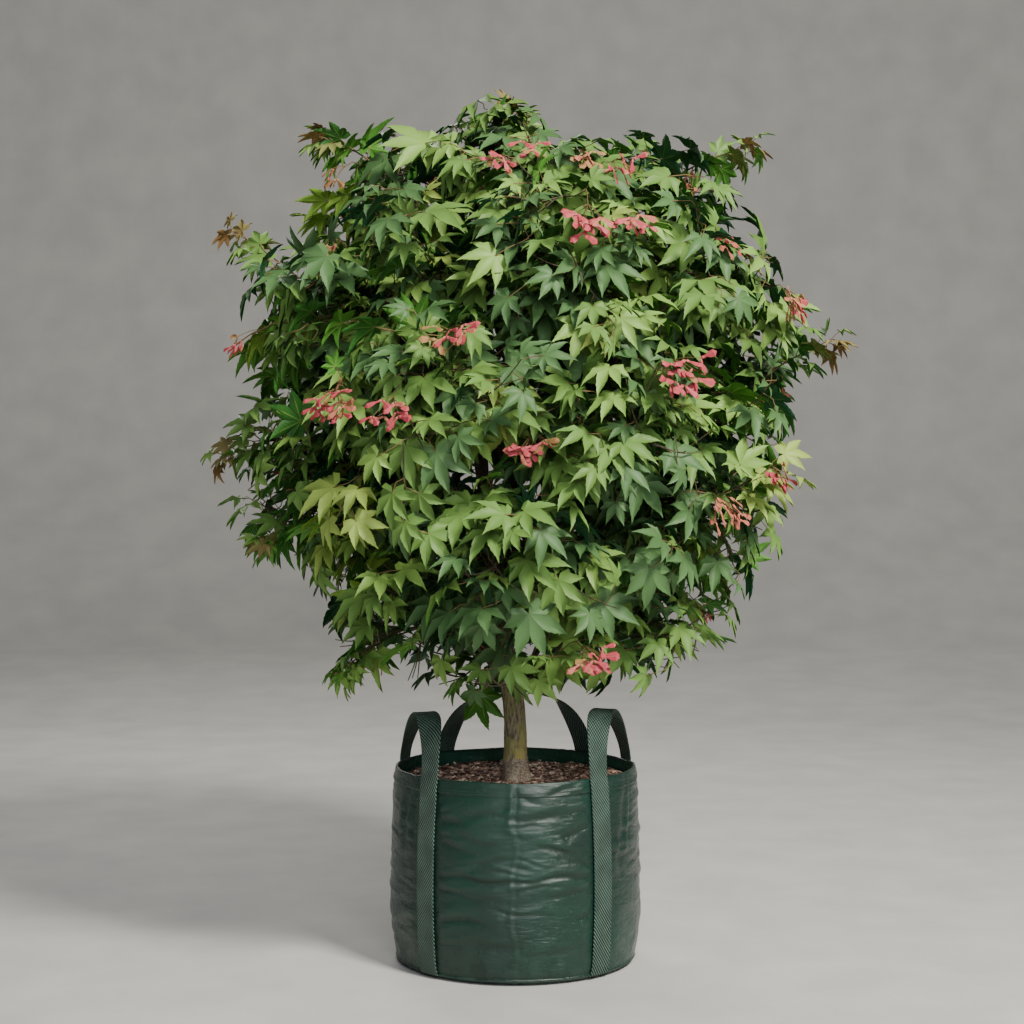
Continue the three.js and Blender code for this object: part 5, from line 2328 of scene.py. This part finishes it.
    def outside(self) -> list[tuple[float, ...]]:
        """The sizes of the rings of the underside, the seamed foot, the wall and the folded rim.

        Returns:
            Each ring's level, inset and, where they count, lift and creasing.
        """
        hem_foot = self.height - self.hem_height
        rows = [(0.0, inset, 0.0, 0.0) for inset in (150.0, 60.0, 12.0, 0.0)]
        rows += [(level, 0.6) for level in (1.0, 2.5, 4.2)]
        rows += [(5.6, -0.4), (6.6, -1.6), (8.0, -1.9), (9.2, -1.0), (10.4, 0.6)]
        rows += [(level, 0.0) for level in np.linspace(12.5, hem_foot - 1.2, self.wall_rings).tolist()]
        rows += [(hem_foot - 0.4, 0.1), (hem_foot, -0.7), (hem_foot + 0.8, -1.5)]
        for level in np.linspace(hem_foot + 2.5, self.height - 2.4, 9).tolist():
            rows.append((level, -self.hem_stand_out - 0.25 * math.sin(level * 1.1)))
        middle, half = (self.hem_wall - self.hem_stand_out) / 2, (self.hem_wall + self.hem_stand_out) / 2
        for share in np.linspace(0.1, 1.0, 6):
            angle = math.pi * share
            rows.append((self.height - 2.0, middle - half * math.cos(angle), 2.0 * math.sin(angle)))
        return rows

    def inside(self) -> list[tuple[float, ...]]:
        """The sizes of the rings of the hem's back, the inner wall and the floor.

        Returns:
            Each ring's level, inset, lift and creasing.
        """
        hem_foot = self.height - self.hem_height
        rows = [(level, self.hem_wall) for level in np.linspace(self.height - 5, hem_foot + 1.5, 7).tolist()]
        for level, inset in ((hem_foot, 0.1), (hem_foot - 1.2, -0.5), (313.0, 0), (309.0, 0.4), (305.0, 0.9)):
            rows.append((level, self.wall + inset, 0.0, 0.6))
        rows += [(level, self.wall + 1.4, 0.0, 0.0) for level in (300.0, 220.0, 120.0, 16.0)]
        rows += [(self.wall + 2.0, self.wall + inset, 0.0, 0.0) for inset in (8.0, 70.0, 150.0)]
        return rows

    def build(self) -> bpy.types.Object:
        """The bag's skin as one closed surface.

        Returns:
            The skin.
        """
        outside = self.outside()
        rings = np.array([self.ring(*row) for row in outside + self.inside()])
        sleeve = Sleeve(rings, close_start=True, close_end=True)
        made = sleeve.build("bag_skin")
        around = [TAU * 0.216 * side / self.columns for side in range(self.columns + 1)]
        corner_uv(made, sleeve.uv(around, run_lengths(rings[:, 0]) * MM))
        self.mark_relief_shading(made, rings, len(outside))
        return made

    def mark_relief_shading(self, made: bpy.types.Object, rings: np.ndarray, first_lining: int) -> None:
        """Stores how far each place stands out of the wall round it, from 0 to 1, which sets the painted highlights
        and painted shade, and which places are inside.

        Args:
            made: The skin.
            rings: Its rings.
            first_lining: The number of the first ring inside.
        """
        reach = np.hypot(rings[:, :, 0], rings[:, :, 1])
        first, last = self.foot_rings, self.foot_rings + self.wall_rings
        wall = reach[first:last]
        span = np.ones(self.wear_span) / self.wear_span
        around = np.stack([np.convolve(column, span, "same") for column in wall.T], axis=1)
        wear = np.full(reach.shape, 0.5)
        edge = self.wear_span // 2
        wear[first + edge : last - edge] = np.clip(0.5 + (wall - around)[edge:-edge] / self.wear_height, 0, 1)
        lining = np.zeros(reach.shape)
        lining[first_lining:] = 1
        set_attribute(made, "wear", "FLOAT", wear)
        set_attribute(made, "lining", "FLOAT", lining)


@dataclass(frozen=True)
class Handle:
    """A webbing handle, by its legs' bearings from the front and the loop between them.

    The loop rises above the rim, peaks at a share of the way across, and may lean outward and tilt its top
    face. A squarer loop has fuller shoulders.
    """

    name: str
    start: float
    end: float
    rise: float
    peak: float
    square: float
    lean: float
    tilt: float


HANDLES = (
    Handle("handle_left", -44, -110, 102, 0.3, 0.25, -6, 0),
    Handle("handle_right", 42, 110, 108, 0.3, 0.25, -6, 0),
    Handle("handle_back", 143, 218, 124, 0.5, 0.5, 14, 42),
)


@dataclass
class Webbing:
    """The straps of the three handles and the stitches that hold them.

    A row of stitches round the bag is given by its level and by how far it stands off the wall.
    """

    bag: NurseryBag
    width: float = 41.0
    thickness: float = 2.6
    stand_off: float = 0.6
    straight: float = 6.0
    pitch: float = 5.0
    loop_steps: int = 44
    rib: float = 0.08
    stitch: float = 4.2
    stitch_edge: float = 5.0
    hem_rows: tuple[tuple[float, float], ...] = ((321.5, 0.35), (325.0, 0.35), (7.4, 2.1))
    hem_stitch_count: int = 300

    def leg(self, bearing: float, turned: float) -> tuple[list[Point], list[Point]]:
        """One leg of a strap.

        Args:
            bearing: Its bearing.
            turned: 1 or -1 for the direction across it.

        Returns:
            Its middle line from its foot, and the directions across it.
        """
        gap = self.stand_off + self.thickness / 2
        quarter = self.width / self.bag.rim_radius * 90 / math.pi
        hem_foot = self.bag.height - self.bag.hem_height
        levels = [6.0, 9.0, *np.arange(12.0, hem_foot - 2, self.pitch).tolist()]
        levels += [hem_foot + 1, 330.0, 338.0, 343.0, self.bag.height + self.straight]
        wall = self.bag.on_wall
        middles = [wall(bearing, level, gap) for level in levels]
        across = [unit(wall(bearing + quarter, z, 0) - wall(bearing - quarter, z, 0)) * turned for z in levels]
        return middles, across

    def stations(self, handle: Handle) -> tuple[np.ndarray, np.ndarray]:
        """A strap's course: up one leg, over the loop and down the other leg.

        Args:
            handle: The handle.

        Returns:
            The strap's middle line and the directions across it.
        """
        middles, across = self.leg(handle.start, 1)
        down, down_across = self.leg(handle.end, -1)
        start, end = middles[-1], down[-1]
        outward = level_out(start + end)
        turn = -180 if handle.end > handle.start else 180
        for i in range(1, self.loop_steps):
            t = i / self.loop_steps
            arch = math.sin(math.pi * t)
            eased = mix(t, (1 - math.cos(math.pi * t)) / 2, handle.square)
            drawn = eased ** (math.log(handle.peak) / math.log(0.5))
            middle = start + (end - start) * drawn + outward * handle.lean * arch
            middle[2] = self.bag.height + self.straight + (handle.rise - self.straight) * arch**0.85
            angle = math.radians(mix(handle.start, handle.end + turn, smooth(0, 1, t)))
            rise = math.radians(handle.tilt) * arch**2
            middles.append(middle)
            across.append(point(math.cos(angle) * math.cos(rise), math.sin(angle) * math.cos(rise), math.sin(rise)))
        return np.array(middles + down[::-1]), np.array(across + down_across[::-1])

    def section(self) -> list[tuple[float, float]]:
        """The strap's section: flat, with rounded edges and a low rib along each edge.

        Returns:
            The section's corners, across and up, as shares of the width and thickness.
        """
        edge = 0.5
        flat = (-0.47, -0.4, -0.2, 0.0, 0.2, 0.4, 0.47)
        top = [(u, 0.5 + (self.rib if 0.3 < abs(u) < 0.45 else 0.0)) for u in flat]
        return [*top, (edge, 0.2), (edge, -0.2), *[(u, -v) for u, v in top[::-1]], (-edge, -0.2), (-edge, 0.2)]

    def strap(self, handle: Handle) -> bpy.types.Object:
        """One handle's strap.

        Args:
            handle: The handle.

        Returns:
            The strap.
        """
        middles, across = self.stations(handle)
        section = self.section()[::-1]
        rings = []
        for before, middle, after, aside in zip([middles[0], *middles], middles, [*middles[1:], middles[-1]], across):
            heading = unit(after - before)
            face = unit(np.cross(aside, heading))
            edge = unit(np.cross(heading, face))
            rings.append([middle + edge * u * self.width + face * v * self.thickness for u, v in section])
        sleeve = Sleeve(np.array(rings), close_start=True, close_end=True)
        made = sleeve.build(f"strap_{handle.name}")
        turned = [u * self.width * MM for u, _ in (*section, section[0])]
        corner_uv(made, sleeve.uv(turned, run_lengths(middles) * MM))
        return made

    def sew(self, places: Places, at: Point, upright: bool, size: float) -> None:
        """Adds a stitch that lies up or across the wall."""
        up, face = point(0, 0, 1), level_out(at)
        places.add(at, up if upright else unit(np.cross(up, face)), face, size)

    def leg_stitches(self, places: Places) -> None:
        """Adds two rows of stitches down each leg and two short rows across it, in and under the hem.

        Args:
            places: The stitches so far.
        """
        gap = self.stand_off + self.thickness + 0.15
        for bearing in (end for handle in HANDLES for end in (handle.start, handle.end)):
            for side in (-1, 1):
                turn = side * (self.width / 2 - self.stitch_edge) / self.bag.rim_radius * 180 / math.pi
                for level in np.arange(16.0, 338.0, self.stitch * 1.25).tolist():
                    self.sew(places, self.bag.on_wall(bearing + turn, level, gap), True, self.stitch)
            for step, level in product(range(-3, 4), (300.0, 334.0)):
                self.sew(places, self.bag.on_wall(bearing + step * 1.35, level, gap), False, self.stitch)

    def hem_stitches(self, places: Places) -> None:
        """Adds rows of stitches round the hem and along the seam at the foot.

        Args:
            places: The stitches so far.
        """
        for level, out in self.hem_rows:
            for i in range(self.hem_stitch_count):
                bearing = 360 * i / self.hem_stitch_count
                slack = float(self.bag.slack(np.array([bearing]), level)[0])
                at = self.bag.on_wall(bearing, level, out + slack)
                at[2] += self.bag.wave(level_out(at)[None], level)[0]
                self.sew(places, at, False, self.stitch * 0.8)

    @staticmethod
    def stitch_shape() -> bpy.types.Object:
        """One stitch of thread: a low rounded bar, one unit long.

        Returns:
            The stitch.
        """
        rings = []
        for y, size in ((-0.46, 0.35), (-0.3, 0.85), (0, 1.0), (0.3, 0.85), (0.46, 0.35)):
            reach, lift = 0.11 * size, -0.1 * (1 - size)
            rings.append([(reach * math.cos(a), y, lift + reach * math.sin(a)) for a in np.arange(6)[::-1] * TAU / 6])
        return Sleeve(np.array(rings) / MM, close_start=True, close_end=True).build("stitch_shape")


# Mulch


@dataclass
class MulchBed:
    """Bark mulch on top of the root ball, which fills the bag."""

    bag: NurseryBag
    chips: int = 4200
    columns: int = 180
    lining: float = 0.7
    trunk_radius: float = 33.0
    bare_radius: float = 25.0
    small: tuple[float, float] = (4.5, 10.0)
    large: tuple[float, float] = (10.0, 17.0)
    bumps: tuple[Layer, ...] = ((1.0, 46.0, 71, 2.4), (1.0, 15.0, 73, 1.5), (1.0, 6.0, 79, 0.7))
    shares: tuple[tuple[str, float], ...] = (("chips_dark", 0.46), ("chips_red", 0.84), ("chips_tan", 1.0))
    flakes: int = 7

    def surface(self, places: np.ndarray) -> np.ndarray:
        """The level of the mulch.

        Args:
            places: The places to measure it at, one a row.

        Returns:
            The level at each of them.
        """
        reach = np.hypot(places[:, 0], places[:, 1])
        level = self.bag.soil_level + self.bag.soil_rise * smooth_many(90, 200, reach)
        flat = np.stack([places[:, 0], places[:, 1], reach * 0], axis=1)
        return level + layered(flat, self.bumps) * smooth_many(16.0, 60.0, reach) - 0.4

    def bed(self) -> bpy.types.Object:
        """The fill as one closed body with an uneven top.

        Returns:
            The bed.
        """
        inside = self.bag.wall + self.lining
        angle = np.arange(self.columns) * TAU / self.columns
        outward = np.stack([np.cos(angle), np.sin(angle), angle * 0], axis=1)
        rings = [outward * reach + (0, 0, level) for reach, level in ((8.0, 4.0), (120.0, 4.0), (196.0, 4.2))]
        for level in (12.0, 40.0, 90.0, 150.0, 210.0, 260.0, 300.0, 309.0):
            rings.append(outward * (self.bag.radius(level) - inside - 1.5) + (0, 0, level))
        edge = self.bag.radius(self.bag.soil_level) - inside - 1.2
        for reach in [*np.linspace(edge, 60, 58), *np.linspace(57, 6, 14)]:
            ring = outward * reach
            ring[:, 2] = self.surface(ring)
            rings.append(ring)
        return Sleeve(np.array(rings), close_start=True, close_end=True).build("mulch_bed")

    @staticmethod
    def chip_shape(variant: int) -> bpy.types.Object:
        """One flake of bark: a flat, torn chip with five to seven corners, one unit long.

        Args:
            variant: Which of the flakes it is.

        Returns:
            The flake.
        """
        random = RandomStream(3000 + 31 * variant)
        count = 5 + variant % 3
        wide = random.between(0.24, 0.42)
        outline = []
        for i in range(count):
            angle = TAU * (i + 0.3 * (random() - 0.5)) / count
            across = wide * math.sin(angle) * random.between(0.75, 1.2)
            outline.append((across, 0.5 * math.cos(angle) * random.between(0.8, 1.05), 0.03 * (i % 2)))
        outline.reverse()
        bend = random.between(-0.12, 0.12)
        rings = []
        for height, size in ((-0.075, 0.86), (-0.02, 1.0), (0.05, 0.95), (0.08, 0.74)):
            rings.append([(x * size, y * size, height + bend * y * y * 3 + torn) for x, y, torn in outline])
        made = Sleeve(np.array(rings) / MM, close_start=True, close_end=True).build(f"chip_shape_{variant}")
        made.data.polygons.foreach_set("use_smooth", [False] * len(made.data.polygons))
        return made

    def scatter(self) -> dict[str, Places]:
        """Deals out the chips over the bed, in three tints.

        Returns:
            The chips' places, by the piece's name.
        """
        random = RandomStream(88)
        dealt = {name: Places() for name, _ in self.shares}
        edge = self.bag.radius(self.bag.soil_level) - 11
        made = 0
        while made < self.chips:
            reach = edge * math.sqrt(random())
            angle = TAU * random()
            if reach < self.trunk_radius and random() < 0.92 or reach < self.bare_radius:
                continue
            place = point(reach * math.cos(angle), reach * math.sin(angle), 0)
            place[2] = float(self.surface(place[None])[0]) + random.between(0.2, 3.2)
            turn = TAU * random()
            tilt = 0.5 if random() < 0.8 else 1.1
            face = unit(point((random() - 0.5) * tilt, (random() - 0.5) * tilt, 1))
            grain = square_to(face, point(math.cos(turn), math.sin(turn), 0))
            roll = random()
            name = next(name for name, share in self.shares if roll < share)
            size = random.between(*(self.small if random() < 0.86 else self.large))
            dealt[name].add(place, grain, face, size, int(random() * (self.flakes - 0.001)))
            made += 1
        return dealt


# The stage


@dataclass(frozen=True)
class SoftLight:
    """A large soft light, with its place, its target and its size in metres."""

    name: str
    at: tuple[float, float, float]
    target: tuple[float, float, float]
    power: float
    size: float
    tint: Colour

    def build(self) -> None:
        """Adds the light to the scene."""
        data = bpy.data.lights.new(self.name, "AREA")
        data.energy, data.size, data.color = self.power, self.size, self.tint
        light = bpy.data.objects.new(self.name, data)
        light.location = self.at
        light.rotation_euler = (Vector(self.target) - Vector(self.at)).to_track_quat("-Z", "Y").to_euler()
        bpy.context.scene.collection.objects.link(light)


LIGHTS = (
    SoftLight("key", (2.0, -2.7, 3.7), (0.0, 0.0, 0.8), 340.0, 0.9, (1.0, 0.95, 0.86)),
    SoftLight("front", (0.5, -4.5, 2.3), (0.0, 0.0, 0.8), 88.0, 1.8, (0.93, 0.97, 1.0)),
    SoftLight("rim", (-0.8, 2.9, 2.9), (0.0, 0.0, 1.0), 60.0, 1.6, (1.0, 0.98, 0.94)),
)


@dataclass(frozen=True)
class Studio:
    """The pale floor, the soft lights and the camera, in metres."""

    floor_course: tuple[tuple[float, float], ...] = (
        *((-7.5, -0.001), (3.2, -0.001), (4.6, 0.12), (5.6, 0.7), (6.1, 1.6), (6.3, 6.5)),
    )
    floor_reach: float = 9.0
    sky: Colour = (0.83, 0.87, 0.92)
    sky_strength: float = 0.19
    lens: float = 72.14
    sensor: float = 36.0
    lens_shift: float = -0.0586
    camera_at: tuple[float, float, float] = (-0.00625, -3.664, 0.899)

    def floor(self) -> bpy.types.Object:
        """A wide pale floor that turns up far behind.

        Returns:
            The floor.
        """
        places = [(side * self.floor_reach, y, z) for y, z in self.floor_course for side in (-1, 1)]
        faces = [[2 * i, 2 * i + 1, 2 * i + 3, 2 * i + 2] for i in range(len(self.floor_course) - 1)]
        return new_object("floor", np.array(places) / MM, faces)

    def build(self) -> bpy.types.Object:
        """Sets the lights, the world and the camera.

        Returns:
            The floor.
        """
        for light in LIGHTS:
            light.build()
        world = bpy.data.worlds.new("soft_sky")
        world.use_nodes = True
        sky = world.node_tree.nodes["Background"]
        sky.inputs["Color"].default_value = (*self.sky, 1.0)
        sky.inputs["Strength"].default_value = self.sky_strength
        bpy.context.scene.world = world
        data = bpy.data.cameras.new("camera")
        data.lens, data.sensor_width, data.shift_y = self.lens, self.sensor, self.lens_shift
        camera = bpy.data.objects.new("camera", data)
        camera.location = self.camera_at
        camera.rotation_euler = (math.pi / 2, 0.0, 0.0)
        bpy.context.scene.collection.objects.link(camera)
        bpy.context.scene.camera = camera
        return self.floor()


# Putting it together


BARK_TRUNK = BarkFinish("bark_trunk", (0.33, 0.28, 0.175), (0.095, 0.078, 0.048), (0.26, 0.265, 0.095), 0.55)
BARK_YOUNG = BarkFinish("bark_young", (0.075, 0.052, 0.03), (0.024, 0.016, 0.011), (0.06, 0.065, 0.025), 0.4)
BARK_TWIG = BarkFinish("bark_twig", (0.085, 0.058, 0.034), (0.03, 0.02, 0.013), (0.07, 0.085, 0.03), 0.6)
BARK_SHOOT = BarkFinish("bark_shoot", (0.13, 0.06, 0.035), (0.06, 0.03, 0.02), (0.1, 0.09, 0.035), 0.5)
LEAF_STALK = LeafFinish("leaf_stalk", (0.16, 0.115, 0.045), (0.2, 0.13, 0.06), (0.16, 0.115, 0.045), 0.45)
WOVEN_GREEN = WovenFinish(
    "woven_green",
    tint=(0.005, 0.037, 0.024),
    dark=(0.0014, 0.009, 0.0065),
    dust=(0.04, 0.085, 0.065),
    # The pale tint of the painted highlight on the ridges.
    painted_highlight=(0.028, 0.085, 0.062),
    lining=(0.022, 0.085, 0.055),
)
# The ribs' pale tint is painted highlight and the gaps' dark tint is painted shade.
WEBBING_GREEN = WebbingFinish("webbing_green", (0.125, 0.21, 0.165), (0.0025, 0.01, 0.0075))
THREAD = GrainFinish("thread", (0.035, 0.07, 0.045), (0.015, 0.03, 0.02), 600.0, 0.6, 0.2)
SOIL = GrainFinish("mulch_bed", (0.075, 0.035, 0.02), (0.012, 0.007, 0.005), 70.0, 0.9, 1.4)
PALE_FLOOR = GrainFinish("pale_floor", (0.56, 0.55, 0.52), (0.5, 0.49, 0.47), 6.0, 0.8, 0.2)
CHIPS = {
    "chips_dark": GrainFinish("chips_dark", (0.17, 0.09, 0.062), (0.035, 0.017, 0.012), 160.0),
    "chips_red": GrainFinish("chips_red", (0.46, 0.27, 0.19), (0.17, 0.085, 0.056), 170.0),
    "chips_tan": GrainFinish("chips_tan", (0.85, 0.68, 0.54), (0.5, 0.34, 0.24), 150.0),
}


class MapleInBag:
    """The whole object, built piece by piece in order."""

    def __init__(self) -> None:
        """Sorts the names of the CAD solids and makes the shared geometry nodes."""
        self.pieces = 0
        self.solids = sorted(frame["nodes"])
        self.setter = placing_builder()

    def solids_of(self, *starts: str) -> list[str]:
        """The CAD solids whose names start in one of some ways."""
        return [name for name in self.solids if name.startswith(starts)]

    def keep(
        self,
        piece: bpy.types.Object,
        replaced: Sequence[str] = (),
        material: bpy.types.Material | None = None,
    ) -> None:
        """Gives a piece its slot and the solids that it stands for, and reports it.

        Args:
            piece: The piece.
            replaced: The CAD solids that it stands for.
            material: Its material, where it has none yet.
        """
        if material is not None:
            piece.data.materials.append(material)
        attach(piece, ROOT)
        if replaced:
            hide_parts(*replaced)
        self.pieces += 1
        log.info("%s: %d triangles", piece.name, sum(len(face.vertices) - 2 for face in piece.data.polygons))

    def spread(
        self,
        name: str,
        places: Places,
        shapes: bpy.types.Collection,
        material: bpy.types.Material,
        size_spread: float,
        seed: int,
    ) -> bpy.types.Object:
        """Sets shapes on places.

        Args:
            name: The piece's name.
            places: The places.
            shapes: The shapes, by their variant's number.
            material: Their material.
            size_spread: How much their sizes vary, as a share.
            seed: The seed of that.

        Returns:
            The piece.
        """
        values = {"Shapes": shapes, "Size": 1.0, "Size Spread": size_spread, "Seed": seed, "Material": material}
        return self.setter.run(name, places.mesh(f"{name}_points"), values)

    def limbs(self, plan: CrownPlan) -> None:
        """The trunk, the leaders and the boughs.

        Args:
            plan: The crown's plan.
        """
        bark = replace(BARK_TRUNK, graft_level=plan.trunk.graft_level)
        self.keep(plan.trunk.build(), ["trunk"], bark.build())
        self.keep(LimbBark(plan).build(), self.solids_of("leader", "bough"), BARK_YOUNG.build())

    def foliage(self, plan: CrownPlan, guards: np.ndarray) -> None:
        """The stems, twigs, leaves and seeds of every mass.

        Args:
            plan: The crown's plan.
            guards: Places that nothing may grow near.
        """
        grown = Foliage(plan, guards)
        grown.grow()
        counts = [sum(len(places.at) for places in kind.values()) for kind in (grown.leaves, grown.seeds)]
        log.info("%d leaves, %d seeds", *counts)
        tubes = tube_builder()
        for name, lines, sides, finish in (
            ("twigs", grown.twigs, 5, BARK_TWIG),
            ("leaf_stalks", grown.stalks, 3, LEAF_STALK),
            ("shoots", grown.shoots, 5, BARK_SHOOT),
        ):
            values = {"Sides": sides, "Thickness": 1.0, "Material": finish.build()}
            made = tubes.run(name, lines.mesh(f"{name}_lines"), values)
            made.data.polygons.foreach_set("use_smooth", [True] * len(made.data.polygons))
            self.keep(made)
        shape = LeafShape()
        leaves = shape_collection("leaf_shapes", [shape.build(i) for i in range(shape.variants)])
        for tint, places in grown.leaves.items():
            made = self.spread(tint.value.name, places, leaves, tint.value.build(), 0.05, 5)
            self.keep(made, self.solids_of("foliage"))
        drop_collection(leaves)
        seeds = shape_collection("seed_shapes", [SeedShape().build(i) for i in range(3)])
        for look, places in grown.seeds.items():
            self.keep(self.spread(look.value.name, places, seeds, look.value.build(), 0.1, 9))
        drop_collection(seeds)

    def pot(self, bag: NurseryBag, webbing: Webbing) -> None:
        """The bag, its handles and its stitches.

        Args:
            bag: The bag's sizes.
            webbing: The handles' sizes.
        """
        self.keep(bag.build(), ["bag"], WOVEN_GREEN.build())
        strap, thread = WEBBING_GREEN.build(), THREAD.build()
        for handle in HANDLES:
            self.keep(webbing.strap(handle), [handle.name], strap)
        stitch = shape_collection("stitches", [webbing.stitch_shape()])
        for name, lay in (("strap_stitches", webbing.leg_stitches), ("hem_stitches", webbing.hem_stitches)):
            places = Places()
            lay(places)
            self.keep(self.spread(name, places, stitch, thread, 0.06, 3))
        drop_collection(stitch)

    def mulch(self, mulch: MulchBed) -> None:
        """The root ball's fill and the chips of bark on it.

        Args:
            mulch: The mulch's sizes.
        """
        self.keep(mulch.bed(), ["root_ball"], SOIL.build())
        shapes = shape_collection("chip_shapes", [mulch.chip_shape(i) for i in range(mulch.flakes)])
        for name, places in mulch.scatter().items():
            self.keep(self.spread(name, places, shapes, CHIPS[name].build(), 0.15, 11))
        drop_collection(shapes)

    def stage(self) -> None:
        """The floor, the lights and the camera."""
        floor = Studio().build()
        floor.data.materials.append(PALE_FLOOR.build())
        floor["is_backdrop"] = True


def main() -> None:
    """Builds the object and its stage in order."""
    logging.basicConfig(level=logging.INFO, format="%(name)s: %(message)s")
    maple = MapleInBag()
    plan, bag = CrownPlan(), NurseryBag()
    webbing = Webbing(bag)
    guards = np.concatenate([webbing.stations(handle)[0] for handle in HANDLES])
    maple.limbs(plan)
    maple.foliage(plan, guards)
    maple.pot(bag, webbing)
    maple.mulch(MulchBed(bag))
    maple.stage()
    log.info("%d pieces", maple.pieces)
    boxes = {"cad": CAD_BOX, "shown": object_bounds()}
    plain = {name: [[float(value) for value in corner] for corner in box] for name, box in boxes.items()}


if __name__ == "__main__":
    main()
